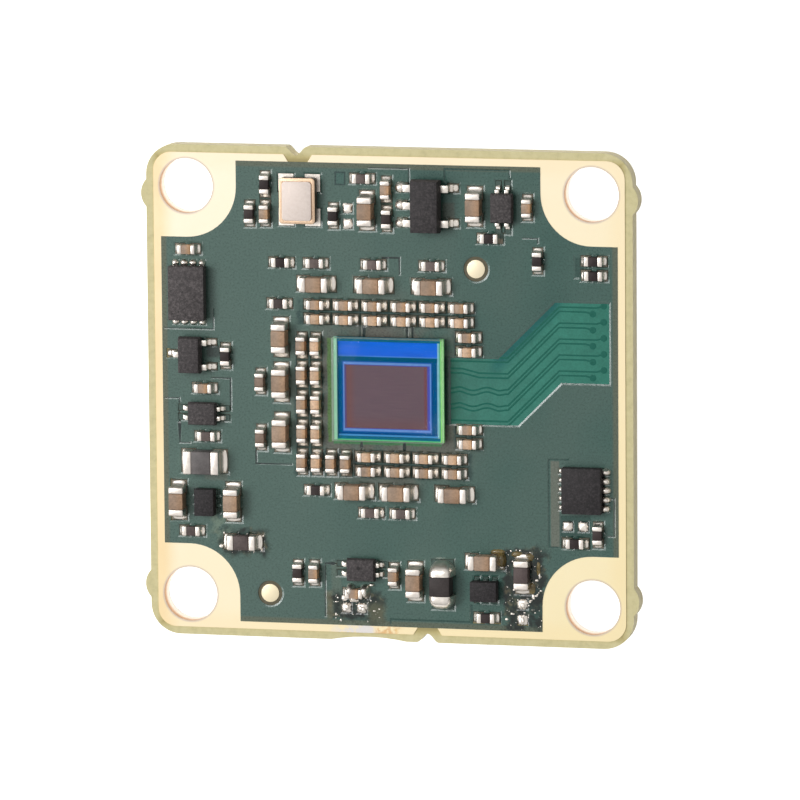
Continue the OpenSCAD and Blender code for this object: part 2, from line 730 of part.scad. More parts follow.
module coil_ends_2d(grow) {
    for (side = [-1, 1])
        translate([side * (coil_w - coil_end_w) / 2, 0])
            square([coil_end_w + 2 * grow, coil_end_l + 2 * grow], center = true);
}

// Etched relief in the front mask
module lane_window() {
    left_top = lane_top - lane_drop_top;
    left_bottom = lane_bottom - lane_drop_bottom;
    polygon([
        [lane_start, left_top], [lane_bend_top - lane_drop_top, left_top],
        [lane_bend_top, lane_top], [lane_end, lane_top], [lane_end, lane_bottom],
        [lane_bend_bottom, lane_bottom], [lane_bend_bottom - lane_drop_bottom, left_bottom],
        [lane_start, left_bottom]
    ]);
}
module lane_copper() {
    for (k = [-2:2], side = [0, 1]) {
        y = lane_y + k * pair_pitch + (side - 0.5) * trace_gap;
        end = [via_x[side], y + (side - 0.5) * 0.2];
        polygon(ribbon([
            end, [end[0] - 0.4, y], [lane_bend, y], [lane_bend - lane_drop, y - lane_drop],
            [lane_start - 0.1, y - lane_drop]
        ], trace_w));
        translate(end) circle(via_r);
    }
}
module etched_relief() {
    difference() {
        lane_window();
        lane_copper();
    }
    for (line = pour_gaps) polygon(ribbon(line * grid_pitch, pour_gap_w));
    for (line = sensor_gaps) polygon(ribbon(line, pour_gap_w));
    for (a = bare_areas) translate([a[0], a[1]]) square([a[2] - a[0], a[3] - a[1]]);
}

// Solid shapes that repeat
module chip_body(l, w, h, end) {
    translate([0, 0, land_t + end_lap + h / 2]) cube([l - 2 * end, w, h], center = true);
}
module chip_ends(l, w, h, end) {
    for (side = [-1, 1])
        translate([side * (l - end) / 2, 0, land_t + end_lap + h / 2])
            cube([end, w + 2 * end_lap, h + 2 * end_lap], center = true);
}
module chip_fillets(l, w, h, toe) {
    rise = min(solder_climb, h);
    for (side = [0, 180])
        rotate(side) translate([l / 2, 0, land_t]) rotate([90, 0, 0])
            linear_extrude(w, center = true)
                polygon([[0, 0], [toe, 0], [toe * 0.35, rise * 0.35], [0, rise]]);
}
module moulded_body(l, w, h, band_z) {
    band = band_z + lead_t;
    intersection() {
        rotate([90, 0, 0]) linear_extrude(w, center = true) moulded_side(l, h, band_z, band);
        rotate([90, 0, 90]) linear_extrude(l, center = true) moulded_side(w, h, band_z, band);
    }
}
module moulded_side(l, h, low, high) {
    half = l / 2;
    in = half - mould_draft;
    polygon([[-in, 0], [in, 0], [half, low], [half, high], [in, h], [-in, h], [-half, high], [-half, low]]);
}
function lead_level(h) = body_lift + (h - lead_t) / 2;
module gull_body(l, w, h) {
    translate([0, 0, land_t + body_lift]) moulded_body(l, w, h, lead_level(h) - body_lift);
}
module gull_leads(left, right, body_half, span, h, w) {
    for (y = left) translate([0, y, 0]) rotate(180) gull_lead(body_half, span / 2, h, w);
    for (y = right) translate([0, y, 0]) gull_lead(body_half, span / 2, h, w);
}
module gull_lead(inner, tip, h, w) {
    knee = max(inner + land_margin, tip - foot_l);
    level = lead_level(h);
    translate([0, 0, land_t]) rotate([90, 0, 0]) linear_extrude(w, center = true)
        polygon([
            [inner, level], [knee, level], [knee, 0], [tip, 0], [tip, lead_t],
            [knee + lead_t, lead_t], [knee + lead_t, level + lead_t], [inner, level + lead_t]
        ]);
}
module flat_body(l, w, h) {
    translate([0, 0, land_t + flat_t + h / 2]) cube([l, w, h], center = true);
}
module flat_terminals(row, half, reach) {
    for (y = row, side = [-1, 1])
        translate([side * (half + (reach - flat_under) / 2), y, land_t + flat_t / 2])
            cube([flat_under + reach, flat_w, flat_t], center = true);
}
module toe_fillets(row, side, tip, toe, w, rise) {
    for (y = row) translate([0, y, land_t]) rotate(side > 0 ? 0 : 180) translate([tip, 0, 0])
        rotate([90, 0, 0]) linear_extrude(w, center = true) polygon([[0, 0], [toe, 0], [0, rise]]);
}
module gull_fillets(left, right, span, w) {
    toe_fillets(left, -1, span / 2, lead_toe, w, lead_t);
    toe_fillets(right, 1, span / 2, lead_toe, w, lead_t);
}
module flat_fillets(row, half, reach) {
    for (side = [-1, 1]) toe_fillets(row, side, half + reach, flat_toe, flat_w, flat_t);
}
module solder_dome(base_r, h) {
    r = (base_r * base_r + h * h) / (2 * h);
    intersection() {
        translate([0, 0, h - r]) sphere(r);
        translate([0, 0, h]) cube([4 * base_r, 4 * base_r, 2 * h], center = true);
    }
}

// Board
module board_laminate() {
    color(laminate_colour) translate([0, 0, board_bottom]) linear_extrude(board_t) difference() {
        board_outline();
        at_holes() circle(d = hole_d + 2 * plating_t);
    }
}
module ground_plating() {
    color(gold_colour) {
        on_front() linear_extrude(plating_t) plated_border();
        on_rear() linear_extrude(plating_t) plated_border();
        translate([0, 0, board_bottom]) at_holes() linear_extrude(board_t) difference() {
            circle(d = hole_d + 2 * plating_t);
            circle(d = hole_d);
        }
    }
}
module solder_mask_front() {
    color(mask_colour) on_front() difference() {
        linear_extrude(mask_t) difference() {
            mask_area();
            front_land_shapes(mask_gap);
            place(fiducial_spots) circle(d = fiducial_d + 2 * fiducial_ring);
        }
        translate([0, 0, mask_t - relief_depth]) linear_extrude(2 * relief_depth) etched_relief();
    }
}
module solder_mask_back() {
    color(mask_colour) on_rear() linear_extrude(mask_t) difference() {
        mask_area();
        rear_land_shapes(mask_gap);
    }
}
module fiducials() {
    color(gold_colour) on_front() place(fiducial_spots) cylinder(d = fiducial_d, h = plating_t);
}
module front_lands() {
    color(solder_colour) on_front() linear_extrude(land_t) front_land_shapes(0);
}
module rear_lands() {
    color(solder_colour) on_rear() linear_extrude(land_t) rear_land_shapes(0);
}

// Image sensor
module sensor_balls() {
    color(solder_colour) on_front() translate([0, 0, land_t]) at_balls() cylinder(r = ball_r, h = ball_h);
}
module sensor_die() {
    color([0.12, 0.3, 0.62]) on_front()
        translate([sensor_x, sensor_y, sensor_z + die_t / 2])
            cube([sensor_w, sensor_d, die_t], center = true);
}
module pixel_array() {
    color([0.42, 0.34, 0.38]) on_front()
        translate([array_x, array_y, sensor_z + die_t + array_t / 2])
            cube([array_w, array_d, array_t], center = true);
}
module light_shield() {
    color([0.4, 0.5, 0.8]) on_front() translate([array_x, array_y, sensor_z + die_t])
        linear_extrude(array_t) frame_2d(array_w + 2 * shield_w, array_d + 2 * shield_w, shield_w);
}
module sensor_dam() {
    color([0.05, 0.38, 0.5]) on_front() translate([sensor_x, sensor_y, sensor_z + die_t])
        linear_extrude(dam_h) frame_2d(sensor_w, sensor_d, dam_w);
}
module sensor_glass() {
    color([0.7, 0.9, 0.78, 0.4]) on_front()
        translate([sensor_x, sensor_y, sensor_z + die_t + dam_h + glass_t / 2])
            cube([sensor_w, sensor_d, glass_t], center = true);
}

// Oscillator
module oscillator_base() {
    color([0.45, 0.4, 0.36]) on_front() place(oscillator_spots) translate([0, 0, land_t])
        linear_extrude(osc_base_h) rounded_rect(osc_w, osc_d, osc_corner_r);
}
module oscillator_ring() {
    color(gold_colour) on_front() place(oscillator_spots) translate([0, 0, land_t + osc_base_h])
        linear_extrude(osc_ring_h) difference() {
            rounded_rect(osc_w, osc_d, osc_corner_r);
            square([osc_w - 2 * osc_ring_w, osc_d - 2 * osc_ring_w], center = true);
        }
}
module oscillator_lid() {
    w = osc_w - 2 * osc_lid_inset;
    d = osc_d - 2 * osc_lid_inset;
    color([0.82, 0.74, 0.66]) on_front() place(oscillator_spots)
        translate([0, 0, land_t + osc_base_h + osc_ring_h])
            linear_extrude(osc_lid_t) rounded_rect(w, d, osc_corner_r);
}

// Leaded packages
module regulator_body() {
    color(mould_colour) on_front() place(regulator_spots) gull_body(reg_w, reg_l, reg_h);
}
module regulator_leads() {
    color(steel_colour) on_front() place(regulator_spots)
        gull_leads(reg_left, reg_right, reg_w / 2, reg_span, reg_h, reg_lead_w);
}
module small_regulator_bodies() {
    color(mould_colour) on_front() place(small_regulator_spots) gull_body(quad_l, quad_w, quad_h);
}
module small_regulator_leads() {
    color(steel_colour) on_front() place(small_regulator_spots)
        gull_leads(quad_sides, quad_sides, quad_l / 2, quad_span, quad_h, quad_lead_w);
}
module transistor_body() {
    color(mould_colour) on_front() place(transistor_spots) gull_body(trans_w, trans_l, trans_h);
}
module transistor_leads() {
    color(steel_colour) on_front() place(transistor_spots)
        gull_leads([0], trans_right, trans_w / 2, trans_span, trans_h, trans_lead_w);
}

// Flat packages
module memory_body() {
    color(mould_colour) on_front() place(memory_spots) flat_body(memory_l, memory_w, memory_h);
}
module memory_terminals() {
    color(steel_colour) on_front() place(memory_spots)
        flat_terminals(memory_row, memory_l / 2, memory_reach);
}
module driver_body() {
    color(mould_colour) on_front() place(driver_spots) flat_body(driver_l, driver_w, driver_h);
}
module driver_terminals() {
    color(steel_colour) on_front() place(driver_spots)
        flat_terminals(driver_row, driver_l / 2, driver_reach);
}
module switch_bodies() {
    color(mould_colour) on_front() place(switch_spots) flat_body(switch_l, switch_w, switch_h);
}
module switch_terminals() {
    color(steel_colour) on_front() place(switch_spots)
        flat_terminals(switch_row, switch_l / 2, switch_reach);
}

// Chip parts
module small_capacitors() {
    color(ceramic_colour) on_front() place(small_capacitor_spots)
        chip_body(small_l, small_w, small_h, small_end);
}
module small_capacitor_ends() {
    color(solder_colour) on_front() place(small_capacitor_spots)
        chip_ends(small_l, small_w, small_h, small_end);
}
module large_capacitors() {
    color(ceramic_colour * 0.85) on_front() place(large_capacitor_spots)
        chip_body(large_l, large_w, large_h, large_end);
}
module large_capacitor_ends() {
    color(solder_colour) on_front() place(large_capacitor_spots)
        chip_ends(large_l, large_w, large_h, large_end);
}
module resistors() {
    color(mould_colour) on_front() place(resistor_spots) chip_body(small_l, small_w, resistor_h, small_end);
}
module resistor_ends() {
    color(solder_colour) on_front() place(resistor_spots) chip_ends(small_l, small_w, resistor_h, small_end);
}
module ferrite_chips() {
    color([0.3, 0.28, 0.3]) on_front() place(ferrite_spots)
        chip_body(large_l, large_w, ferrite_h, large_end);
}
module ferrite_chip_ends() {
    color(solder_colour) on_front() place(ferrite_spots) chip_ends(large_l, large_w, ferrite_h, large_end);
}
module filter_body() {
    color([0.45, 0.42, 0.43]) on_front() place(filter_spots)
        chip_body(block_l, filter_w, block_h, block_end);
}
module filter_ends() {
    color(solder_colour) on_front() place(filter_spots) chip_ends(block_l, filter_w, block_h, block_end);
}
module choke_body() {
    color(mould_colour) on_front() place(choke_spots) chip_body(block_l, choke_w, block_h, block_end);
}
module choke_ends() {
    color(solder_colour) on_front() place(choke_spots) chip_ends(block_l, choke_w, block_h, block_end);
}

// Solder
module choke_solder() {
    base_r = choke_w / 2;
    color(solder_colour) on_front() place(choke_spots) for (side = [0, 180])
        rotate(side) translate([block_l / 2, 0, land_t]) intersection() {
            translate([choke_toe - base_r, 0, 0]) solder_dome(base_r, choke_dome_h);
            translate([base_r, 0, 0]) cube([2 * base_r, 2 * base_r, 4 * choke_dome_h], center = true);
        }
}
module chip_solder() {
    color(solder_colour) on_front() {
        place(small_capacitor_spots) chip_fillets(small_l, small_w, small_h, small_toe);
        place(resistor_spots) chip_fillets(small_l, small_w, resistor_h, small_toe);
        place(large_capacitor_spots) chip_fillets(large_l, large_w, large_h, large_toe);
        place(ferrite_spots) chip_fillets(large_l, large_w, ferrite_h, large_toe);
        place(filter_spots) chip_fillets(block_l, filter_w, block_h, filter_toe);
    }
}
module lead_solder() {
    color(solder_colour) on_front() {
        place(regulator_spots) gull_fillets(reg_left, reg_right, reg_span, reg_lead_w);
        place(small_regulator_spots) gull_fillets(quad_sides, quad_sides, quad_span, quad_lead_w);
        place(transistor_spots) gull_fillets([0], trans_right, trans_span, trans_lead_w);
        place(memory_spots) flat_fillets(memory_row, memory_l / 2, memory_reach);
        place(driver_spots) flat_fillets(driver_row, driver_l / 2, driver_reach);
        place(switch_spots) flat_fillets(switch_row, switch_l / 2, switch_reach);
    }
}
module spare_land_solder() {
    color(solder_colour) on_front() place(spare_spots) for (side = [-1, 1])
        translate([side * spare_pitch / 2, 0, land_t]) solder_dome(spare_land / 2, spare_solder_h);
}

// Rear connector, lying along the board's right edge
module connector_place() {
    on_rear() translate([conn_x, 0, 0]) rotate(90) children();
}
module contact_shape(grow) {
    outer = conn_w / 2 + contact_tail;
    wall = socket_w / 2;
    inner = wall - contact_t;
    polygon([
        [inner - grow, land_t - grow], [outer, land_t - grow],
        [outer, land_t + contact_t + grow], [wall + grow, land_t + contact_t + grow],
        [wall + grow, conn_h - 0.2], [inner - grow, conn_h - 0.2]
    ]);
}
module contact_bars(grow) {
    for (x = contact_row, side = [0, 180])
        rotate(side) translate([x, 0, 0]) rotate([90, 0, 90])
            linear_extrude(contact_w + 2 * grow, center = true) contact_shape(grow);
}
module connector_housing() {
    tongue_l = socket_l - 1;
    color([0.2, 0.19, 0.18]) connector_place() difference() {
        translate([-conn_l / 2, -conn_w / 2, mask_t]) cube([conn_l, conn_w, conn_h - mask_t]);
        translate([-socket_l / 2, -socket_w / 2, socket_floor]) difference() {
            cube([socket_l, socket_w, 2 * socket_depth]);
            translate([(socket_l - tongue_l) / 2, (socket_w - tongue_w) / 2, 0])
                cube([tongue_l, tongue_w, socket_depth - 0.15]);
        }
        contact_bars(contact_gap);
    }
}
module connector_contacts() {
    color(gold_colour) connector_place() contact_bars(0);
}
module connector_hold_downs() {
    color(steel_colour) connector_place() for (side = [0, 180])
        rotate(side) translate([conn_l / 2, 0, land_t]) rotate([90, 0, 0])
            linear_extrude(hold_down_w, center = true)
                polygon([
                    [0, 0], [contact_tail, 0], [contact_tail, contact_t], [contact_t, contact_t],
                    [contact_t, hold_down_h], [0, hold_down_h]
                ]);
}

// Rear power parts
module coil_place() {
    for (side = [-1, 1]) on_rear() translate([coil_x, side * coil_y, 0]) children();
}
module inductor_bodies() {
    low = land_t + coil_end_t;
    color([0.3, 0.29, 0.29]) coil_place() translate([0, 0, low])
        linear_extrude(coil_h - low) rounded_rect(coil_w, coil_w, coil_corner_r);
}
module inductor_ends() {
    color(solder_colour) coil_place() translate([0, 0, land_t])
        linear_extrude(coil_end_t) coil_ends_2d(0);
}
module converter_bodies() {
    color(mould_colour) on_rear() place(converter_spots)
        flat_body(converter_w, converter_w, converter_h);
}
module converter_terminals() {
    color(steel_colour) on_rear() place(converter_spots)
        flat_terminals(converter_row, converter_w / 2, switch_reach);
}
module rear_capacitors() {
    color(ceramic_colour * 0.85) on_rear() place(rear_capacitor_spots)
        chip_body(large_l, large_w, large_h, large_end);
}
module rear_capacitor_ends() {
    color(solder_colour) on_rear() place(rear_capacitor_spots)
        chip_ends(large_l, large_w, large_h, large_end);
}
module rear_solder() {
    color(solder_colour) on_rear() place(rear_capacitor_spots)
        chip_fillets(large_l, large_w, large_h, large_toe);
}

board_laminate();
ground_plating();
solder_mask_front();
solder_mask_back();
fiducials();
front_lands();
rear_lands();
sensor_balls();
sensor_die();
pixel_array();
light_shield();
sensor_dam();
sensor_glass();
oscillator_base();
oscillator_ring();
oscillator_lid();
regulator_body();
regulator_leads();
small_regulator_bodies();
small_regulator_leads();
transistor_body();
transistor_leads();
memory_body();
memory_terminals();
driver_body();
driver_terminals();
switch_bodies();
switch_terminals();
small_capacitors();
small_capacitor_ends();
large_capacitors();
large_capacitor_ends();
resistors();
resistor_ends();
ferrite_chips();
ferrite_chip_ends();
filter_body();
filter_ends();
choke_body();
choke_ends();
choke_solder();
chip_solder();
lead_solder();
spare_land_solder();
connector_housing();
connector_contacts();
connector_hold_downs();
inductor_bodies();
inductor_ends();
converter_bodies();
converter_terminals();
rear_capacitors();
rear_capacitor_ends();
rear_solder();
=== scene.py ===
import math
import random

import bmesh
import bpy
from mathutils import Matrix, Vector


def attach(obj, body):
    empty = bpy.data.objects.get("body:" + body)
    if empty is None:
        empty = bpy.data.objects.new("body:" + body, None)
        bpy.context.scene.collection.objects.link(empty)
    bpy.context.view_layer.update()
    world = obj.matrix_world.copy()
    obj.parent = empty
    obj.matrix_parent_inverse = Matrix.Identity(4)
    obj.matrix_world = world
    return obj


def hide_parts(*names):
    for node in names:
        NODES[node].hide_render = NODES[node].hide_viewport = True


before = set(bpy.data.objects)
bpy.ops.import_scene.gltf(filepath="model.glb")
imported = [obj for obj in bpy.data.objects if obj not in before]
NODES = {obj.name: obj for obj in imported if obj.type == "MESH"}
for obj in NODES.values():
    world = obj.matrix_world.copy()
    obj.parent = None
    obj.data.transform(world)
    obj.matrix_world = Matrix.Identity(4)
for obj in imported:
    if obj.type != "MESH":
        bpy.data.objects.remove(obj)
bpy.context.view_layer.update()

# Sizes and places are in millimetres of the shared frame, unless a line says metres.
MM = 0.001
WELD = 1e-7  # metres, points this near are one
LEVEL = 1e-6  # metres, points this near are level
BOARD_TOP = 2.5
MASK_LOW = 2.53
MASK_TOP = 2.56
BEAD_BASE = MASK_TOP - 0.01
MASK_REACH = 12.3
HOLE_AT = 11.25
ROUND_DEG = 60.0
WHITE = (1.0, 1.0, 1.0, 1.0)

# Outline of the window over the data lanes, clockwise.
LANE_WINDOW = [(3.335, 2.3), (6.05, 2.3), (9.2, 5.45), (12.3, 5.45),
               (12.3, 0.9), (9.6, 0.9), (7.2, -1.5), (3.335, -1.5)]
# Centre x, y and half sizes.
SWITCHES = ((-10.26, -6.06, 0.95, 0.95), (5.32, -10.47, 0.95, 0.95))
SMALL_REGULATORS = ((6.41, 10.46, 1.0, 1.7), (-10.37, -1.19, 1.7, 1.0), (-1.54, -9.53, 1.45, 1.0))
# Centre x, y and tone of the resistors that are paler than the others.
LIGHT_RESISTORS = ((-0.89, 7.24, 1.0), (2.37, 7.08, 1.0), (-4.04, 7.29, 0.8), (-0.89, -6.27, 0.9), (0.57, -6.27, 0.9),
                   (-10.0, -2.15, 0.8), (-1.43, 11.9, 0.8), (-10.71, -7.25, 0.6), (-5.88, 5.18, 0.5))


# ---- node trees

def lin(*color):
    """Linear colour of an 8-bit colour."""
    parts = [c / 255.0 for c in color]
    return tuple(c / 12.92 if c <= 0.04045 else ((c + 0.055) / 1.055) ** 2.4 for c in parts) + (1.0,)


class Nodes:
    """Short forms for the nodes of a tree."""

    def __init__(self, tree):
        self.tree = tree

    def node(self, kind, **props):
        n = self.tree.nodes.new(kind)
        for key, value in props.items():
            setattr(n, key, value)
        return n

    def link(self, source, target):
        self.tree.links.new(source, target)

    def put(self, value, socket):
        """Links a socket to another one, or sets it to a constant. A colour is in 8 bits."""
        if isinstance(value, bpy.types.NodeSocket):
            self.link(value, socket)
        else:
            socket.default_value = lin(*value) if isinstance(value, tuple) else value

    def math(self, op, a, b=0.0, clamp=False):
        n = self.node("ShaderNodeMath", operation=op, use_clamp=clamp)
        self.put(a, n.inputs[0])
        self.put(b, n.inputs[1])
        return n.outputs[0]

    def add(self, a, b):
        return self.math("ADD", a, b)

    def less(self, a, b, clamp=False):
        return self.math("SUBTRACT", a, b, clamp)

    def mul(self, a, b):
        return self.math("MULTIPLY", a, b)

    def absolute(self, value):
        return self.math("ABSOLUTE", value)

    def most(self, first, *others):
        for value in others:
            first = self.math("MAXIMUM", first, value)
        return first

    def span(self, value, lo, hi, to_lo=0.0, to_hi=1.0, smooth=True):
        """Maps lo..hi to to_lo..to_hi and holds the ends."""
        n = self.node("ShaderNodeMapRange", interpolation_type="SMOOTHSTEP" if smooth else "LINEAR")
        self.put(value, n.inputs["Value"])
        for key, v in zip(("From Min", "From Max", "To Min", "To Max"), (lo, hi, to_lo, to_hi)):
            n.inputs[key].default_value = v
        return n.outputs["Result"]

    def parts(self, vector):
        n = self.node("ShaderNodeSeparateXYZ")
        self.link(vector, n.inputs[0])
        return n.outputs

    def blend(self, fac, a, b):
        """One shader from two."""
        n = self.node("ShaderNodeMixShader")
        for value, socket in zip((fac, a, b), n.inputs):
            self.put(value, socket)
        return n.outputs[0]


class Surface(Nodes):
    """A material with patterns laid out in millimetres of the part's own frame."""

    def __init__(self, name, metal=0.0, gloss=0.5):
        self.mat = bpy.data.materials.new(name)
        self.mat.use_nodes = True
        super().__init__(self.mat.node_tree)
        self.bsdf = self.first("BSDF_PRINCIPLED")
        self.set("Metallic", metal)
        self.set("Specular IOR Level", gloss)
        scale = self.node("ShaderNodeVectorMath", operation="SCALE")
        scale.inputs["Scale"].default_value = 1.0 / MM
        self.link(self.node("ShaderNodeTexCoord").outputs["Object"], scale.inputs[0])
        self.mm = scale.outputs[0]
        self.x, self.y, self.z = self.parts(self.mm)

    def set(self, key, value):
        self.put(value, self.bsdf.inputs[key])

    def first(self, kind):
        return next(n for n in self.tree.nodes if n.type == kind)

    def surface(self, shader):
        self.link(shader, self.first("OUTPUT_MATERIAL").inputs["Surface"])

    def shader(self, kind, color):
        n = self.node("ShaderNodeBsdf" + kind)
        self.link(color, n.inputs["Color"])
        return n.outputs[0]

    def attribute(self, name):
        return self.node("ShaderNodeAttribute", attribute_name=name).outputs["Fac"]

    def noise(self, scale, detail=3.0, rough=0.55, warp=0.0, stretch=None, shift=None):
        vec = self.mm
        for op, by in (("MULTIPLY", stretch), ("ADD", shift)):
            if by:
                n = self.node("ShaderNodeVectorMath", operation=op)
                self.link(vec, n.inputs[0])
                n.inputs[1].default_value = by
                vec = n.outputs[0]
        n = self.node("ShaderNodeTexNoise")
        self.link(vec, n.inputs["Vector"])
        for key, value in (("Scale", scale), ("Detail", detail), ("Roughness", rough), ("Distortion", warp)):
            n.inputs[key].default_value = value
        return n.outputs["Fac"]

    def distance(self, dx, dy):
        return self.math("POWER", self.add(self.mul(dx, dx), self.mul(dy, dy)), 0.5)

    def reach(self):
        """The larger of |x| and |y|."""
        return self.most(self.absolute(self.x), self.absolute(self.y))

    def inside(self, value, lo, hi, soft):
        """1 from lo to hi, 0 beyond them."""
        rise = self.span(value, lo - soft, lo + soft)
        fall = self.span(value, hi - soft, hi + soft, 1.0, 0.0)
        return self.mul(rise, fall)

    def patch(self, x0, x1, y0, y1, soft, ragged=0.0):
        """1 in a box of the plan, 0 around it."""
        x, y = self.x, self.y
        if ragged:
            x, y = [self.add(at, self.span(self.noise(1.6, 4.0, shift=shift), 0.25, 0.75, -ragged, ragged, False))
                    for at, shift in ((x, None), (y, (7.3, 2.1, 5.5)))]
        return self.mul(self.inside(x, x0, x1, soft), self.inside(y, y0, y1, soft))

    def any_patch(self, boxes, soft, ragged=0.0):
        return self.most(*(self.patch(*box, soft, ragged) for box in boxes))

    def marked(self, base, marks):
        """The colour with marks on it. The most ragged ones are speckled."""
        for box, soft, ragged, weight, tint in marks:
            mark = self.patch(*box, soft, ragged)
            if ragged > 0.2:
                mark = self.mul(mark, self.span(self.noise(2.4, 4.0), 0.42, 0.58))
            base = self.mix(self.mul(mark, weight), base, tint)
        return base

    def mix(self, fac, a, b, mode="MIX"):
        n = self.node("ShaderNodeMix", data_type="RGBA", blend_type=mode)
        for key, value in ((0, fac), (6, a), (7, b)):
            self.put(value, n.inputs[key])
        return n.outputs[2]

    def over(self, base, *coats):
        """The colour under coats of others, each with its strength."""
        for fac, tint in coats:
            base = self.mix(fac, base, tint)
        return base

    def times(self, a, b):
        return self.mix(1.0, a, b, "MULTIPLY")

    def ramp(self, fac, *stops):
        """Colours of three numbers are in 8 bits, those of four are linear."""
        n = self.node("ShaderNodeValToRGB")
        while len(n.color_ramp.elements) < len(stops):
            n.color_ramp.elements.new(0.5)
        for element, (at, color) in zip(n.color_ramp.elements, stops):
            element.position = at
            element.color = lin(*color) if len(color) == 3 else color
        self.link(fac, n.inputs[0])
        return n.outputs[0]

    def shades(self, fac, dark, light):
        return self.ramp(fac, (0.3, dark), (0.7, light))

    def grey(self, fac, *stops):
        return self.ramp(fac, *((at, (v, v, v, 1.0)) for at, v in stops))

    def bump(self, height, depth, strength):
        n = self.node("ShaderNodeBump")
        n.inputs["Strength"].default_value = strength
        n.inputs["Distance"].default_value = depth * MM
        self.link(height, n.inputs["Height"])
        self.set("Normal", n.outputs["Normal"])

    def finish(self, color, grain, low, high, depth, strength, height=None):
        """Sets the colour, and lets roughness and bump follow the grain, or the bump a height."""
        self.set("Base Color", color)
        self.set("Roughness", self.span(grain, 0.3, 0.7, low, high))
        self.bump(height or grain, depth, strength)
        return self.mat


# ---- materials

# Box x0, x1, y0, y1, then softness and raggedness of its border, weight, colour. Some rows are painted light and some
# are painted shade, as noted above them.
MASK_MARKS_AND_PAINTED_LIGHT = (
    ((8.95, 9.42, -8.0, -3.28), 0.03, 0.0, 1.0, (108, 116, 104)),
    # Painted light: pale green that the sensor's glass throws on the mask at its left and lower sides.
    ((-3.42, -3.2, -2.6, 3.1), 0.05, 0.04, 1.0, (84, 120, 62)),
    ((-3.1, 2.9, -2.68, -2.5), 0.05, 0.04, 1.0, (66, 130, 80)),
    # Painted shadow of the sensor's glass on the mask between it and the lane window.
    ((3.1, 3.5, -1.47, 2.27), 0.03, 0.0, 1.0, (18, 60, 50)),
    # Painted shadow of the driver's body between its right pins, together with some real flux.
    ((11.5, 11.92, -6.05, -3.75), 0.06, 0.03, 1.0, (22, 28, 26)),
    ((-2.93, -2.32, 11.46, 12.21), 0.02, 0.0, 0.9, (26, 58, 54)),
    ((-2.84, -2.41, 11.55, 12.12), 0.02, 0.0, 0.9, (66, 104, 95)),
    # Painted shadow between the transistor and the small chip beside it.
    ((-10.2, -9.2, 1.86, 2.5), 0.1, 0.05, 0.8, (38, 50, 46)),
    # Painted shade by the regulator's pins.
    ((3.04, 3.72, 9.7, 10.65), 0.08, 0.04, 0.7, (80, 86, 76)),
    ((-10.4, -9.1, -4.9, -4.27), 0.08, 0.06, 0.6, (104, 114, 102)),
    ((-10.0, -9.0, -8.3, -6.6), 0.3, 0.35, 0.55, (128, 148, 128)),
    ((-3.3, -2.75, -12.2, -9.2), 0.1, 0.06, 0.5, (104, 118, 104)),
)
FLUX_MARKS = (
    ((-1.2, -0.3, -12.5, -11.5), 0.25, 0.1, 0.7, (108, 110, 86)),
    ((-3.6, -3.25, -12.4, -10.8), 0.1, 0.1, 0.5, (128, 124, 96)),
)
SENSOR_SHADE = ((-5.1, 4.95, 3.85, 5.2), (-5.25, -3.65, -4.5, 3.3), (-5.2, 4.6, -4.5, -3.0),
                (3.6, 5.2, 2.2, 3.7), (3.6, 5.2, -2.8, -1.4))
SMALL_SPILLS = ((-9.7, -6.9, -8.9, -7.6), (-3.5, -2.6, -12.4, -10.9), (-2.9, -0.4, -12.5, -10.9))


def solder_mask(name, front):
    """Green lacquer. Only the front has stains, flux and etched lines, with painted light and painted shade around
    the sensor and some parts.
    """
    s = Surface(name)
    base = s.ramp(s.noise(0.16, 2.0), (0.36, (54, 92, 83)), (0.5, (63, 98, 89)), (0.66, (73, 102, 93)))
    if front:
        brown = s.mul(s.span(s.distance(s.x, s.y), 3.8, 6.4, 1.0, 0.0), s.span(s.noise(0.5), 0.3, 0.6))
        shade = s.mul(s.any_patch(SENSOR_SHADE, 0.12, 0.1), s.span(s.noise(1.4), 0.3, 0.6, 0.35, 1.0))
        base = s.over(base, (s.span(s.x, -6.0, 4.0, 0.7, 0.0), (86, 111, 102)),
                      (brown, (98, 98, 89)), (shade, (36, 68, 64)))
        base = s.marked(base, MASK_MARKS_AND_PAINTED_LIGHT)
    base = s.mix(s.span(s.reach(), 12.32, 12.47, 0.0, 0.5), base, (112, 108, 82))
    grain = s.noise(9.0, 4.0, 0.75)
    rough = s.span(grain, 0.3, 0.7, 0.24, 0.36)
    height = grain
    if front:
        flux = s.most(s.patch(6.4, 8.6, -12.6, -8.1, 0.25, 0.5), s.any_patch(SMALL_SPILLS, 0.3, 0.35))
        wet = s.mul(flux, s.span(s.noise(1.7, 4.0), 0.3, 0.52, 0.4, 1.0))
        crust = s.ramp(s.noise(2.6, 4.0), (0.36, (18, 28, 24)), (0.5, (30, 44, 38)),
                       (0.6, (62, 70, 56)), (0.7, (120, 112, 86)))
        base = s.marked(s.mix(wet, base, crust), FLUX_MARKS)
        base = s.over(base, (s.attribute("bare"), (40, 76, 68)), (s.attribute("channel"), (30, 46, 44)))
        slope = s.attribute("slope")
        rough = s.less(s.less(rough, s.mul(wet, 0.16)), s.mul(slope, 0.1), True)
        s.set("Specular IOR Level", s.span(slope, 0.0, 1.0, 0.5, 0.7))
        height = s.add(grain, s.mul(s.noise(4.0), s.add(s.mul(wet, 5.0), s.mul(slope, 7.0))))
    s.set("Base Color", s.times(base, s.grey(grain, (0.28, 0.74), (0.72, 1.22))))
    s.set("Roughness", rough)
    s.bump(height, 0.006, 0.5)
    return s.mat


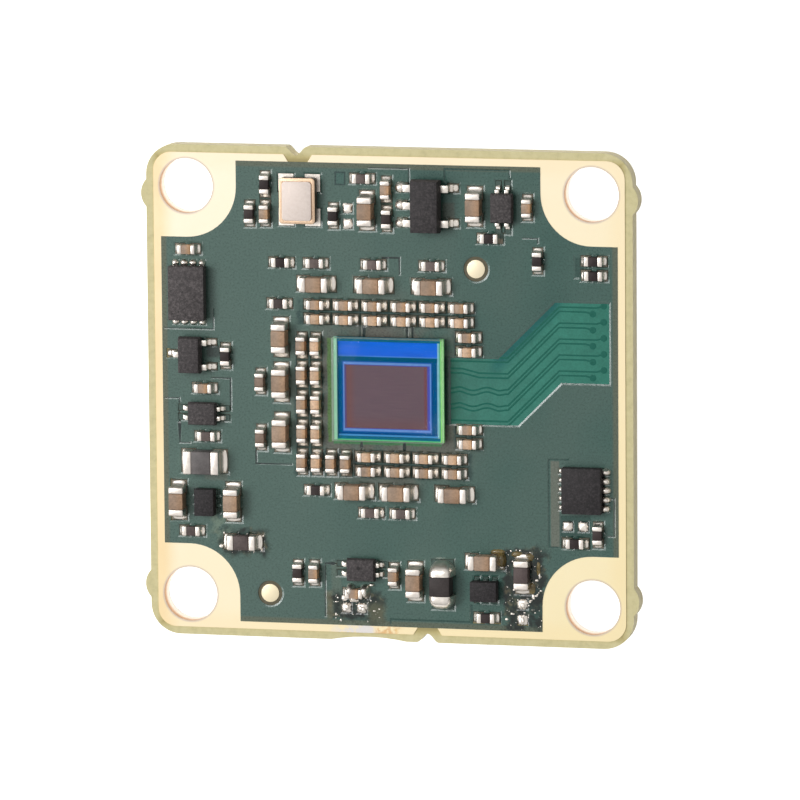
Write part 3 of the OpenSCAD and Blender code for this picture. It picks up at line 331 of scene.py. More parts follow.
def lane_floor():
    """Lacquer in the window of the lanes."""
    s = Surface("lane_floor", gloss=0.2)
    base = s.ramp(s.span(s.x, 3.2, 12.3, smooth=False), (0.0, (58, 114, 101)), (0.15, (68, 130, 116)),
                  (0.6, (64, 138, 121)), (1.0, (58, 130, 113)))
    upper = s.span(s.less(s.y, s.x), -5.1, -3.9)
    base = s.mix(s.mul(upper, s.inside(s.x, 5.8, 9.6, 0.5)), base, (34, 104, 100))
    base = s.times(base, s.grey(s.noise(1.3), (0.3, 0.9), (0.7, 1.08)))
    grain = s.noise(9.0, 4.0, 0.75)
    return s.finish(s.times(base, s.grey(grain, (0.28, 0.84), (0.72, 1.14))), grain, 0.3, 0.42, 0.004, 0.4)


def laminate():
    """Pale woven edge, and the dark top that shows in the gaps of the mask. The sides are paler as painted light, the
    edge is darker next to the gold as painted shade, and the dark top is partly painted shade.
    """
    s = Surface("board_laminate")
    reach = s.reach()
    weave = s.noise(1.0, 4.0, 0.6, stretch=(2.2, 2.2, 22.0))
    edge = s.ramp(weave, (0.28, (216, 206, 152)), (0.5, (230, 219, 166)), (0.74, (238, 228, 180)))
    # Darker next to the gold plating: painted shade of the gold's edge.
    edge = s.times(edge, s.ramp(s.span(reach, 12.8, 13.3, smooth=False),
                                (0.0, (206, 198, 176)), (0.25, (232, 226, 206)), (0.8, WHITE)))
    # Painted light: the sides are paler, standing for light bounced up from the floor.
    edge = s.mix(s.span(s.z, 2.46, 2.495, 1.0, 0.0), edge, (255, 242, 196))
    # The laminate's top in the mask gaps: its dark colour is partly painted shade.
    inner = s.mul(s.span(reach, 12.2, 12.4, 1.0, 0.0), s.span(s.z, 2.40, 2.49))
    base = s.mix(inner, edge, s.shades(s.noise(2.5), (48, 56, 46), (70, 74, 58)))
    dots = s.any_patch(((-7.6, -5.9, -11.9, -10.2), (4.0, 5.7, 6.2, 7.9)), 0.1)
    return s.finish(s.mix(s.mul(dots, inner), base, (92, 86, 64)), weave, 0.5, 0.72, 0.02, 0.5,
                    s.noise(14.0, 4.0, 0.65, stretch=(1.0, 1.0, 3.0)))


def gold():
    """Gold on copper: paler on the corner lands, with a smear and a burn on the front."""
    s = Surface("gold_plating")
    cloud = s.noise(0.5)
    base = s.mix(s.span(s.reach(), 11.7, 12.85), s.shades(cloud, (246, 232, 196), (252, 240, 210)),
                 s.shades(cloud, (244, 212, 154), (250, 222, 168)))
    slant = s.span(s.less(s.x, s.y), -22.0, 22.0, smooth=False)
    base = s.mix(s.span(s.x, -12.75, -11.6, 0.3, 0.8), base,
                 s.ramp(slant, (0.0, (255, 243, 218)), (0.5, (255, 240, 206)), (1.0, (255, 239, 192))))
    hole = s.distance(s.less(s.absolute(s.x), HOLE_AT), s.less(s.absolute(s.y), HOLE_AT))
    base = s.mix(s.span(hole, 1.5, 1.64, 0.8, 0.0), base, (206, 188, 176))
    speck = s.noise(2.4, 4.0, 0.65)
    smear = s.mul(s.patch(-3.0, -0.9, -13.4, -12.4, 0.45, 0.3), s.span(speck, 0.36, 0.56))
    smear = s.most(smear, s.patch(-2.0, -0.95, -13.4, -12.7, 0.12, 0.2))
    burn = s.mul(s.patch(-0.8, 0.5, -13.4, -12.5, 0.25, 0.2), s.span(speck, 0.4, 0.6, 0.0, 0.7))
    front = s.span(s.z, 2.0, 2.4)
    base = s.mix(s.mul(smear, front), base, (232, 226, 222))
    base = s.mix(s.mul(burn, front), base,
                 s.ramp(s.noise(3.0), (0.35, (240, 196, 116)), (0.65, (214, 152, 84))))
    # The hole walls run from orange-brown at the top to near white at the bottom; the pale bottom is painted
    # reflection of the bright floor under the holes.
    wall = s.inside(s.z, 1.53, 2.5, 0.004)
    rise = s.ramp(s.span(s.z, 1.5, 2.5, smooth=False), (0.0, (255, 248, 240)), (0.45, (250, 236, 220)),
                  (0.75, (214, 172, 132)), (1.0, (196, 148, 106)))
    s.set("Metallic", s.span(wall, 0.0, 1.0, 0.35, 0.9))
    grain = s.noise(10.0, 4.0, 0.65)
    return s.finish(s.mix(wall, base, rise), grain, 0.42, 0.58, 0.004, 0.4)


def tin(name, color, low, high, depth, grain_scale):
    """Bright metal with a cloudy, grainy skin."""
    s = Surface(name, 1.0)
    dark = tuple(c * 0.86 for c in lin(*color)[:3]) + (1.0,)
    grain = s.noise(grain_scale, 4.0, 0.6, 0.4)
    return s.finish(s.ramp(s.noise(grain_scale * 0.5), (0.3, dark), (0.6, color)), grain, low, high, depth, 0.4)


def land_tin():
    """Dull tin of the lands, kept dark partly as painted shade round the parts. Near the small regulators, the
    switches and the choke it takes the mask's green; at the switches this green is painted shade.
    """
    s = Surface("land_tin")
    # The dull grey is partly painted shade round the parts.
    base = s.ramp(s.noise(4.0), (0.3, (96, 91, 81)), (0.6, (112, 106, 94)))
    boxes = [(x - hx, x + hx, y - hy, y + hy) for x, y, hx, hy in SMALL_REGULATORS + SWITCHES]
    # Mask green in these boxes; at the switches it is painted shade.
    mask_green_or_shade = s.any_patch([(2.0, 4.1, -12.4, -8.3)] + boxes, 0.05)
    grain = s.noise(8.0, 4.0, 0.6, 0.4)
    s.set("Metallic", s.span(mask_green_or_shade, 0.0, 1.0, 1.0, 0.0))
    return s.finish(s.mix(mask_green_or_shade, base, (56, 80, 72)), grain, 0.35, 0.6, 0.02, 0.4)


def mould():
    """Speckled black plastic, with the dimple of one regulator."""
    s = Surface("black_mould", gloss=0.25)
    grain = s.noise(7.5, 3.0, 0.8)
    base = s.ramp(s.attribute("tone"), (0.0, (40, 36, 38)), (0.5, (56, 53, 54)), (1.0, (84, 79, 79)))
    base = s.times(base, s.grey(grain, (0.34, 0.42), (0.5, 0.95), (0.66, 2.0)))
    dimple = s.distance(s.add(s.x, 1.63), s.add(s.y, 9.41))
    return s.finish(s.mix(s.span(dimple, 0.08, 0.13, 0.8, 0.0), base, (22, 20, 20)), grain, 0.55, 0.75, 0.015, 0.6)


def ceramic(name, dark, mid, light, gloss=0.3, warm=None, warm_from=0.25):
    """Matt ceramic that follows the tone of each chip, warmer towards its right side."""
    s = Surface(name, gloss=gloss)
    tone = s.attribute("tone")
    base = s.ramp(tone, (0.0, dark), (0.5, mid), (1.0, light))
    if warm:
        side = s.attribute("side")
        amount = s.mul(s.span(side, 0.3, 1.0, 0.0, 0.65), s.span(tone, warm_from, warm_from + 0.1))
        base = s.mix(amount, s.times(base, s.grey(side, (0.0, 0.86), (0.5, 1.0))), warm)
    base = s.times(base, s.grey(s.noise(1.6, 2.0), (0.34, 0.84), (0.66, 1.14)))
    grain = s.noise(9.0, 4.0, 0.7)
    return s.finish(s.times(base, s.grey(grain, (0.3, 0.76), (0.7, 1.18))), grain, 0.42, 0.6, 0.008, 0.5)


def silicon():
    """The die around the pixels: bands of colour to the sides and above and below. The pale mint and green bands at
    its left, right and lower edges are painted light, the glow of the glass's cut edges.
    """
    s = Surface("sensor_silicon", gloss=0.02)
    # The pale ends of this ramp and the pale lower end of the next are painted light from the glass's cut edges.
    across = s.ramp(s.span(s.x, -3.2, 3.2, smooth=False),
                    (0.0, (150, 230, 205)), (0.066, (130, 212, 208)), (0.074, (10, 102, 160)),
                    (0.5, (8, 98, 150)), (0.93, (6, 92, 150)), (0.936, (150, 206, 236)),
                    (0.945, (150, 205, 225)), (0.955, (120, 205, 150)))
    up = s.ramp(s.span(s.y, -2.6, 3.4, smooth=False),
                (0.0, (70, 170, 120)), (0.035, (0, 88, 112)), (0.070, (2, 84, 120)),
                (0.074, (84, 162, 228)), (0.086, (84, 162, 228)), (0.091, (10, 80, 150)),
                (0.11, (10, 82, 150)), (0.13, (6, 88, 142)), (0.5, (6, 88, 140)),
                (0.796, (0, 94, 134)), (0.800, (88, 150, 240)), (0.808, (60, 124, 240)),
                (0.816, (44, 114, 246)), (0.936, (26, 118, 248)), (0.944, (2, 88, 130)),
                (1.0, (0, 98, 118)))
    ends = s.most(s.span(s.y, 1.94, 1.98), s.span(s.y, -2.0, -1.94, 1.0, 0.0))
    base = s.mix(s.mul(ends, s.inside(s.x, -2.74, 2.78, 0.02)), across, up)
    streak = s.noise(1.0, 3.0, 0.6, stretch=(0.5, 3.0, 1.0))
    return s.finish(s.times(base, s.grey(streak, (0.3, 0.9), (0.7, 1.06))), streak, 0.3, 0.4, 0.0008, 0.15)


def shield():
    """Blue metal ring around the pixels, violet at its inner edge."""
    s = Surface("shield_metal", gloss=0.03)
    cloud = s.noise(4.0)
    x, y = s.absolute(s.add(s.x, 0.01)), s.absolute(s.y)
    violet = s.mix(s.span(s.x, -0.5, 0.5), (104, 92, 150), (88, 92, 206))
    base = s.mix(s.most(s.span(x, 2.36, 2.4), s.span(y, 1.74, 1.78)), violet,
                 s.shades(cloud, (108, 150, 226), (122, 164, 236)))
    outer = s.most(s.span(x, 2.43, 2.47), s.span(y, 1.87, 1.91))
    return s.finish(s.mix(outer, base, (30, 100, 186)), cloud, 0.34, 0.46, 0.0008, 0.2)


def pixels():
    """The colour filter over the pixels, with redder and violet margins."""
    s = Surface("pixel_filter", gloss=0.02)
    fine = s.noise(14.0, 3.0, 0.7)
    rows = s.noise(1.0, 2.0, 0.5, stretch=(0.8, 14.0, 1.0))
    violet = s.most(s.span(s.x, 2.2, 2.25), s.span(s.absolute(s.y), 1.7, 1.74))
    body = s.over(s.shades(rows, (119, 96, 108), (127, 102, 113)),
                  (s.span(s.y, -1.72, -0.9, 0.45, 0.0), (132, 88, 90)),
                  (s.span(s.x, -2.15, -1.7, 0.5, 0.0), (142, 88, 82)),
                  (s.inside(s.x, 2.05, 2.2, 0.05), (136, 86, 96)),
                  (violet, (92, 90, 190)),
                  (s.span(s.x, -2.3, -2.24, 0.8, 0.0), (96, 80, 130)))
    return s.finish(s.times(body, s.grey(fine, (0.3, 0.9), (0.7, 1.08))), fine, 0.3, 0.42, 0.0008, 0.15)


def dam():
    """Adhesive under the rim of the glass. Its pale strips at three sides are painted light: the glow of the glass's
    cut edges above them.
    """
    s = Surface("dam_adhesive", gloss=0.05)
    cloud = s.noise(3.0)
    base = s.over(s.shades(cloud, (20, 108, 142), (28, 120, 154)),
                  # Painted light: the pale strips at the lower, left and right sides stand for the glow of the
                  # glass's cut edges.
                  (s.span(s.y, -2.36, -2.3, 1.0, 0.0), (110, 216, 150)),
                  (s.span(s.x, -2.82, -2.76, 1.0, 0.0), s.shades(cloud, (196, 250, 222), (212, 255, 234))),
                  (s.span(s.x, 2.94, 2.98), s.shades(cloud, (150, 228, 124), (176, 244, 146))))
    return s.finish(base, cloud, 0.4, 0.55, 0.002, 0.3)


def glass():
    """Clear through its faces; its cut edges are pale and pass some light."""
    s = Surface("cover_glass", gloss=0.2)
    grain = s.noise(3.0)
    tint = s.shades(grain, (220, 246, 222), (234, 252, 236))
    s.finish(tint, grain, 0.25, 0.4, 0.0008, 0.2)
    cast = s.shader("Transparent", s.shades(grain, (0.86, 1.0, 0.84, 1.0), (0.92, 1.0, 0.9, 1.0)))
    edge = s.blend(0.5, s.blend(0.65, s.bsdf.outputs[0], s.shader("Translucent", tint)), cast)
    clear = s.shader("Transparent", s.shades(grain, (0.97, 1.0, 0.98, 1.0), (0.99, 1.0, 0.99, 1.0)))
    shine = s.node("ShaderNodeBsdfGlossy")
    s.put(s.span(grain, 0.3, 0.7, 0.05, 0.09), shine.inputs["Roughness"])
    fresnel = s.node("ShaderNodeFresnel")
    fresnel.inputs["IOR"].default_value = 1.1
    face = s.blend(fresnel.outputs[0], clear, shine.outputs[0])
    normal = s.parts(s.node("ShaderNodeNewGeometry").outputs["True Normal"])
    s.surface(s.blend(s.span(s.absolute(normal[2]), 0.9, 0.98), edge, face))
    return s.mat


def plain(name, dark, light, rough, metal=0.0, grain_scale=12.0, depth=0.006, gloss=0.5):
    """A grainy surface in two shades."""
    s = Surface(name, metal, gloss)
    grain = s.noise(grain_scale, 4.0, 0.65)
    return s.finish(s.shades(grain, dark, light), grain, rough - 0.07, rough + 0.09, depth, 0.5)


LOOK = {
    "laminate": laminate(),
    "gold_plating": gold(),
    "solder_mask": solder_mask("solder_mask", True),
    "rear_mask": solder_mask("rear_mask", False),
    "land_tin": land_tin(),
    "lane_floor": lane_floor(),
    "black_mould": mould(),
    "silicon": silicon(),
    "pixel_filter": pixels(),
    "shield_metal": shield(),
    "dam_adhesive": dam(),
    "cover_glass": glass(),
}
for name, *values in (
        ("tinned_metal", (229, 220, 211), 0.32, 0.46, 0.01, 6.0),
        ("solder", (238, 230, 220), 0.28, 0.44, 0.02, 5.0),
        ("lead_metal", (232, 224, 214), 0.28, 0.44, 0.012, 8.0)):
    LOOK[name] = tin(name, *values)
for name, *values in (
        ("dark_ceramic", (60, 48, 36), (90, 74, 56), 0.5),
        ("ring_metal", (212, 178, 146), (232, 202, 172), 0.4, 0.5),
        ("flux", (84, 72, 40), (150, 130, 78), 0.16, 0.0, 3.0, 0.02),
        ("lid_metal", (224, 209, 199), (240, 226, 217), 0.55, 0.25, 5.0),
        ("connector_plastic", (40, 38, 38), (58, 55, 54), 0.5),
        ("contact_gold", (236, 198, 120), (250, 220, 150), 0.3, 1.0),
        ("lane_copper", (36, 104, 89), (46, 114, 100), 0.5, 0.0, 6.0, 0.006, 0.1)):
    LOOK[name] = plain(name, *values)
for name, *values in (
        ("orange_ceramic", (118, 100, 90), (196, 169, 146), (236, 200, 168), 0.3, (226, 177, 128)),
        ("brown_ceramic", (166, 139, 118), (182, 155, 132), (194, 166, 143), 0.3, (200, 160, 125), -0.2),
        ("resistor_coat", (50, 42, 42), (83, 73, 71), (128, 115, 110), 0.15),
        ("ferrite", (56, 51, 51), (66, 61, 60), (104, 92, 90), 0.15),
        ("grey_ceramic", (104, 99, 98), (112, 107, 106), (118, 113, 112))):
    LOOK[name] = ceramic(name, *values)


# ---- meshes

def connected(items, neighbours):
    """Lists of the items that hang together."""
    left = set(items)
    found = []
    for start in items:
        if start not in left:
            continue
        left.discard(start)
        group, todo = [], [start]
        while todo:
            item = todo.pop()
            group.append(item)
            for other in neighbours(item):
                if other in left:
                    left.discard(other)
                    todo.append(other)
        found.append(group)
    return found


def islands(bm):
    return connected(bm.verts, lambda v: (e.other_vert(v) for e in v.link_edges))


def face_groups(faces):
    return connected(faces, lambda f: (g for e in f.edges for g in e.link_faces))


def near(at, places, margin=0.0):
    """Whether a point lies in the box around one of the places."""
    return any(abs(at.x - x) < hx + margin and abs(at.y - y) < hy + margin for x, y, hx, hy in places)


def vert(bm, x, y, z):
    """A new point at a place in millimetres."""
    return bm.verts.new(Vector((x, y, z)) * MM)


def points(bm, n, m, place):
    """A grid of new points; place tells where each one lies."""
    return [[vert(bm, *place(i, j)) for j in range(m + 1)] for i in range(n + 1)]


def circle(spokes):
    """Points of the unit circle."""
    turns = [math.tau * k / spokes for k in range(spokes)]
    return [(math.cos(a), math.sin(a)) for a in turns]


def band(bm, a, b):
    """Faces between two closed loops of points."""
    for i in range(len(a)):
        k = (i + 1) % len(a)
        bm.faces.new((a[i], a[k], b[k], b[i]))


def skin(bm, grid):
    """Faces over a grid of points."""
    for a, b in zip(grid, grid[1:]):
        for j in range(len(a) - 1):
            bm.faces.new((a[j], b[j], b[j + 1], a[j + 1]))


def rim(grid):
    """The outermost points of a grid, in order."""
    return grid[0] + [r[-1] for r in grid[1:]] + grid[-1][-2::-1] + [r[0] for r in grid[-2:0:-1]]


def new_object(name, data):
    obj = bpy.data.objects.new(name, data)
    bpy.context.collection.objects.link(obj)
    return obj


def finish_piece(name, bm, slot, replaces=(), sharp_deg=32.0, look=None, smooth=True):
    """Makes a piece of a mesh. Its look is that of its slot, unless another one is named."""
    mesh = bpy.data.meshes.new(name)
    bm.to_mesh(mesh)
    bm.free()
    for p in mesh.polygons:
        p.use_smooth = smooth
    if smooth:
        mesh.set_sharp_from_angle(angle=math.radians(sharp_deg))
    piece = new_object(name, mesh)
    mesh.materials.append(LOOK[look or slot])
    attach(piece, "root")
    if replaces:
        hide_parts(*replaces)
    return piece


def node_mesh(node):
    bm = bmesh.new()
    bm.from_mesh(NODES[node].data)
    bmesh.ops.remove_doubles(bm, verts=bm.verts, dist=WELD)
    return bm


def extent(verts):
    lo = Vector((min(v.co[i] for v in verts) for i in range(3)))
    hi = Vector((max(v.co[i] for v in verts) for i in range(3)))
    return lo, hi


def bodies(node):
    """The separate bodies of a CAD node, each with its lowest and highest corner."""
    bm = node_mesh(node)
    for group in islands(bm):
        yield group, *extent(group)
    bm.free()


def crest(verts):
    """The middle of the highest points."""
    top = max(v.co.z for v in verts) - LEVEL
    high = [v.co for v in verts if v.co.z > top]
    return sum(high, Vector()) / len(high)


def dress(node, slot, bevel, segments=2, tone=None, seed=1, look=None):
    """A rounded copy of one CAD node, with a tone for each of its separate bodies."""
    flat, corner = math.radians(1.0), math.radians(24.0)
    bm = node_mesh(node)
    bmesh.ops.dissolve_limit(bm, angle_limit=flat, verts=bm.verts, edges=bm.edges)
    edges = [e for e in bm.edges if len(e.link_faces) == 2 and e.calc_face_angle(0.0) > corner]
    bmesh.ops.bevel(bm, geom=edges, offset=bevel * MM, segments=segments, profile=0.5,
                    affect="EDGES", clamp_overlap=True)
    bmesh.ops.dissolve_degenerate(bm, dist=WELD, edges=bm.edges)
    shade, side = [bm.verts.layers.float.new(k) for k in ("tone", "side")]
    rng = random.Random(seed)
    for group in islands(bm):
        lo, hi = extent(group)
        value = rng.random()
        if tone:
            value = tone((lo + hi) / (2.0 * MM), value)
        for v in group:
            v[shade] = value
            v[side] = (v.co.x - lo.x) / (hi.x - lo.x)
    finish_piece(node + "_look", bm, slot, (node,), look=look)


def within(p, outline):
    """Whether a point lies inside an outline."""
    found = False
    for (x0, y0), (x1, y1) in zip(outline, outline[1:] + outline[:1]):
        if (y0 > p[1]) != (y1 > p[1]) and p[0] < x0 + (p[1] - y0) * (x1 - x0) / (y1 - y0):
            found = not found
    return found


def shrunk(outline, by):
    """The outline moved inwards; its points run clockwise."""
    corners = [Vector(p) for p in outline]
    moved = []
    for i, p in enumerate(corners):
        a, b = (p - corners[i - 1]).normalized(), (corners[(i + 1) % len(corners)] - p).normalized()
        na, nb = Vector((a.y, -a.x)), Vector((b.y, -b.x))
        middle = (na + nb).normalized()
        moved.append(p + middle * by / middle.dot(na))
    return moved


def inset(bm, faces, width, rims_too):
    """Insets faces and keeps each new point near the one that it came from."""
    tries, steep, tiny = 8, 0.2, 1e-13
    made = bmesh.ops.inset_region(bm, faces=faces, thickness=width * MM, use_boundary=rims_too,
                                  use_even_offset=True)["faces"]
    inner = {v for f in faces for v in f.verts}
    home = {}
    for f in made:
        for e in f.edges:
            a, b = e.verts
            if (a in inner) != (b in inner):
                home[a if a in inner else b] = b if a in inner else a
    most = 1.6 * width * MM
    for v, start in home.items():
        step = v.co - start.co
        if step.length > most:
            v.co = start.co + step * (most / step.length)
    for _ in range(tries):
        bm.normal_update()
        bad = {v for f in bm.faces if f.normal.z < steep or f.calc_area() < tiny for v in f.verts if v in home}
        if not bad:
            break
        for v in bad:
            v.co = v.co.lerp(home[v].co, 0.5)
    return made, home


def mask_film():
    """The front mask, with shallow slopes at its etched lines and at its openings."""
    bare_area, bare_spot, spot_reach = 0.75, Vector((10.34, 6.99, MASK_LOW)), 0.7
    rim_wide, rim_deep, corner_from = 0.05, 0.025, 8.4
    bm = node_mesh("solder_mask_front")
    channel, bare, slope = [bm.faces.layers.float.new(k) for k in ("channel", "bare", "slope")]
    bmesh.ops.delete(bm, geom=[f for f in bm.faces if f.normal.z < 0.9], context="FACES")
    level = (MASK_TOP + MASK_LOW) / 2.0 * MM
    for group in face_groups([f for f in bm.faces if f.calc_center_median().z < level]):
        area = sum(f.calc_area() for f in group) / MM ** 2
        away = (group[0].calc_center_median() / MM - bare_spot).length
        kind = bare if area > bare_area or away < spot_reach else channel
        for f in group:
            f[kind] = 1.0
    for v in bm.verts:
        v.co.z = MASK_TOP * MM
    bmesh.ops.remove_doubles(bm, verts=bm.verts, dist=WELD)
    bmesh.ops.bisect_plane(bm, geom=bm.verts[:] + bm.edges[:] + bm.faces[:], dist=WELD,
                           plane_co=(LANE_WINDOW[0][0] * MM, 0.0, 0.0), plane_no=(1.0, 0.0, 0.0))
    in_window = [f for f in bm.faces if within(f.calc_center_median() / MM, LANE_WINDOW)]
    bmesh.ops.delete(bm, geom=in_window, context="FACES")
    for group in face_groups([f for f in bm.faces if f[channel] or f[bare]]):
        wide, deep = (0.1, 0.027) if group[0][bare] else (0.06, 0.016)
        made = inset(bm, group, wide, False)[0]
        for f in made:
            f[channel], f[bare], f[slope] = 0.0, 0.0, 1.0
        inside = set(group) | set(made)
        for v in {v for f in group for v in f.verts}:
            if inside.issuperset(v.link_faces):
                v.co.z -= deep * MM
    made, home = inset(bm, bm.faces[:], rim_wide, True)
    for f in made:
        f[slope] = 1.0
    window = shrunk(LANE_WINDOW, -rim_wide)
    for v, start in home.items():
        x, y = start.co.x / MM, start.co.y / MM
        at_border = max(abs(x), abs(y)) >= MASK_REACH or min(abs(x), abs(y)) >= corner_from
        if not at_border and not within((x, y), window):
            start.co = start.co + (start.co - v.co) * 0.9
            start.co.z = v.co.z - rim_deep * MM
    border = [e for e in bm.edges if e.is_boundary]
    for v in bmesh.ops.extrude_edge_only(bm, edges=border)["geom"]:
        if isinstance(v, bmesh.types.BMVert):
            v.co.z = BOARD_TOP * MM
    finish_piece("mask_film", bm, "solder_mask", ("solder_mask_front",), smooth=False)


def lane_bed():
    """The sunken floor of the lane window and its sloped sides."""
    bm = bmesh.new()
    outer, inner = [[vert(bm, x, y, z) for x, y in reversed(line)]
                    for line, z in ((LANE_WINDOW, MASK_TOP + 0.0005), (shrunk(LANE_WINDOW, 0.1), MASK_LOW))]
    band(bm, outer, inner)
    slope = bm.faces.layers.float.new("slope")
    for f in bm.faces:
        f[slope] = 1.0
    bm.faces.new(inner).material_index = 1
    piece = finish_piece("lane_bed", bm, "solder_mask", smooth=False)
    piece.data.materials.append(LOOK["lane_floor"])


def sweep(bm, line, half, low, high):
    """A flat rounded strip along a line of points."""
    rows = []
    for i, p in enumerate(line):
        along = (line[min(len(line) - 1, i + 1)] - line[max(0, i - 1)]).normalized()
        side = Vector((-along.y, along.x))
        rows.append([vert(bm, p.x + side.x * w * half, p.y + side.y * w * half, z)
                     for w, z in ((-1.0, low), (-0.6, high), (0.6, high), (1.0, low))])
    for a, b in zip(rows, rows[1:]):
        band(bm, a, b)
    for row in (rows[0], rows[-1]):
        bm.faces.new(row)


def lane_traces():
    """Ten lane traces, in pairs, with length-matching waves near the sensor."""
    middle, pitch, gap, drop, bend, sensor_end = 3.27, 0.87, 0.24, 2.85, 6.6, 3.35
    low, radius, spokes = MASK_LOW - 0.003, 0.2, 24
    bm = bmesh.new()
    for k in range(-2, 3):
        for side in (-0.5, 0.5):
            y = middle + k * pitch + side * gap
            via = Vector((MASK_REACH - (1.0 if side < 0 else 0.4), y + side * 0.2))
            line = [via, Vector((via.x - 0.4, y)), Vector((bend + drop, y)), Vector((bend, y - drop))]
            x = bend
            while x > sensor_end:
                x -= 0.06
                wave = 0.0
                if k in (-1, 0):
                    fade = max(0.0, min(1.0, (x - 3.4) / 0.5, (6.5 - x) / 0.5))
                    wave = 0.09 * fade * math.sin((x - 3.45) * math.tau / 1.6)
                elif k == 1:
                    wave = 0.22 * max(0.0, min(1.0, (5.0 - x) / 0.9))
                line.append(Vector((x, y - drop + wave)))
            sweep(bm, line, 0.06, low, MASK_LOW + 0.004)
            ring = [Vector((via.x + radius * c, via.y + radius * s)) for c, s in circle(spokes)]
            loops = [[vert(bm, *p.lerp(via, t), z) for p in ring]
                     for t, z in ((0.0, low), (0.2, MASK_LOW + 0.006), (0.55, MASK_LOW + 0.003))]
            for a, b in zip(loops, loops[1:]):
                band(bm, a, b)
            bm.faces.new(loops[0])
            bm.faces.new(loops[-1])
    bmesh.ops.recalc_face_normals(bm, faces=bm.faces)
    finish_piece("lane_traces", bm, "solder_mask", look="lane_copper")


def fillets(node, lift, heel, seed):
    """Concave solder toes in place of the CAD's wedges, one for each wedge except those at the switches."""
    bm = bmesh.new()
    rng = random.Random(seed)
    nu, nw = 8, 10
    for group, lo, hi in bodies(node):
        centre = (lo + hi) / 2.0
        if near(centre / MM, SWITCHES):
            continue
        gap = crest(group) - centre
        axis = 0 if abs(gap.x) > abs(gap.y) else 1
        sign = -1.0 if gap[axis] > 0 else 1.0
        length = (hi[axis] - lo[axis]) / MM
        if near(centre / MM, SMALL_REGULATORS):
            length *= 0.25
        half = (hi[1 - axis] - lo[1 - axis]) / 2.0 / MM
        start = (lo[axis] if sign > 0 else hi[axis]) / MM
        middle = centre[1 - axis] / MM
        base = lo.z / MM
        tall = min((hi.z - lo.z) / MM, heel)
        lean = rng.uniform(-0.12, 0.12)
        swell = rng.uniform(0.85, 1.15)

        def place(i, j):
            u, w = i / nu, -1.0 + 2.0 * j / nw
            reach = length * (1.04 - 0.3 * abs(w) ** 3)
            h = lift * swell * (0.6 + 0.4 * (1.0 - u)) + (tall - lift) * (1.0 - u) ** 4
            h *= (1.0 - 0.7 * abs(w) ** 5) * (1.0 - 0.8 * u ** 8)
            h *= 1.0 + rng.uniform(-0.08, 0.08)
            spot = [0.0, 0.0, base + max(0.004, h)]
            spot[axis] = start + sign * (u * reach - 0.01)
            spot[1 - axis] = middle + half * w * (1.06 - 0.12 * u) + lean * half * u * (1.0 - w * w)
            return spot

        grid = points(bm, nu, nw, place)
        skin(bm, grid)
        edge = rim(grid)
        foot = [bm.verts.new((v.co.x, v.co.y, lo.z)) for v in edge]
        band(bm, edge, foot)
        bm.faces.new(foot)
    bmesh.ops.recalc_face_normals(bm, faces=bm.faces)
    finish_piece(node + "_toes", bm, "solder", (node,), ROUND_DEG)


def dome(bm, centre, half_x, half_y, base, tall, rng, square=3.0, n=9, jag=0.0):
    """A lump with a rounded-square plan; jag roughens its outline."""
    def place(i, j):
        u, v = -1.0 + 2.0 * i / n, -1.0 + 2.0 * j / n
        far = max(abs(u), abs(v))
        k = far / (abs(u) ** square + abs(v) ** square) ** (1.0 / square) if far else 1.0
        k *= 1.0 + jag * far * rng.uniform(-1.0, 1.0)
        h = tall * (1.0 - far ** 2.6) ** 0.7 * (1.0 + rng.uniform(-0.04, 0.04)) if far < 0.999 else 0.0
        return centre[0] + u * k * half_x, centre[1] + v * k * half_y, base + h

    grid = points(bm, n, n, place)
    skin(bm, grid)
    bm.faces.new(rim(grid))


def pin_blobs():
    """Rounded solder at the flat terminals and at the transistor."""
    wedge_height = 0.12
    bm = bmesh.new()
    rng = random.Random(11)
    for group, lo, hi in bodies("lead_solder"):
        if (hi.z - lo.z) / MM > wedge_height:
            continue
        tip = crest(group)
        away = (lo + hi) / 2.0 - tip
        out = Vector((away.x, away.y, 0.0)).normalized()
        mid = tip / MM + out * 0.02
        if near(mid, SWITCHES, 0.35):
            continue
        along, wide = 0.25 * rng.uniform(0.92, 1.08), 0.18 * rng.uniform(0.92, 1.08)
        tall = 0.2 * rng.uniform(0.9, 1.1)
        square = 3.0
        if mid.x > 9.0 and out.x > 0.5:
            along, tall = along * 1.15, tall * 1.7
        elif mid.x > 9.0:
            along, wide, tall = along * 0.5, wide * 0.7, tall * 0.6
        elif mid.x < -9.0:
            along, wide, tall, square = wide * 1.1, wide * 1.1, tall * 1.1, 2.2
        hx, hy = (along, wide) if abs(out.x) > 0.5 else (wide, along)
        dome(bm, mid, hx, hy, lo.z / MM, tall, rng, square)
    for y in (11.43, 10.48, 9.5):
        dome(bm, (0.76, y), 0.33 * rng.uniform(0.95, 1.05), 0.3 * rng.uniform(0.95, 1.05), MASK_TOP, 0.34, rng, 2.2)
    finish_piece("pin_blobs", bm, "solder", sharp_deg=ROUND_DEG)


def pad_lumps():
    """Solder that covers the spare lands, rougher at the lower edge."""
    bm = bmesh.new()
    rng = random.Random(12)
    for _, lo, hi in bodies("spare_land_solder"):
        mid = (lo + hi) / (2.0 * MM)
        base = lo.z / MM
        dome(bm, mid, 0.27, 0.27, base, 0.09 * rng.uniform(0.9, 1.2), rng, 4.0, jag=0.12)
        for _ in range(3 if mid.y < -10.5 else 0):
            r = rng.uniform(0.12, 0.17)
            spot = mid + Vector((rng.uniform(-0.1, 0.1), rng.uniform(-0.1, 0.1), 0.0))
            dome(bm, spot, r, r * rng.uniform(0.8, 1.3), base, rng.uniform(0.12, 0.15), rng, 2.0, 7)
    finish_piece("pad_lumps", bm, "solder", ("spare_land_solder",), ROUND_DEG)


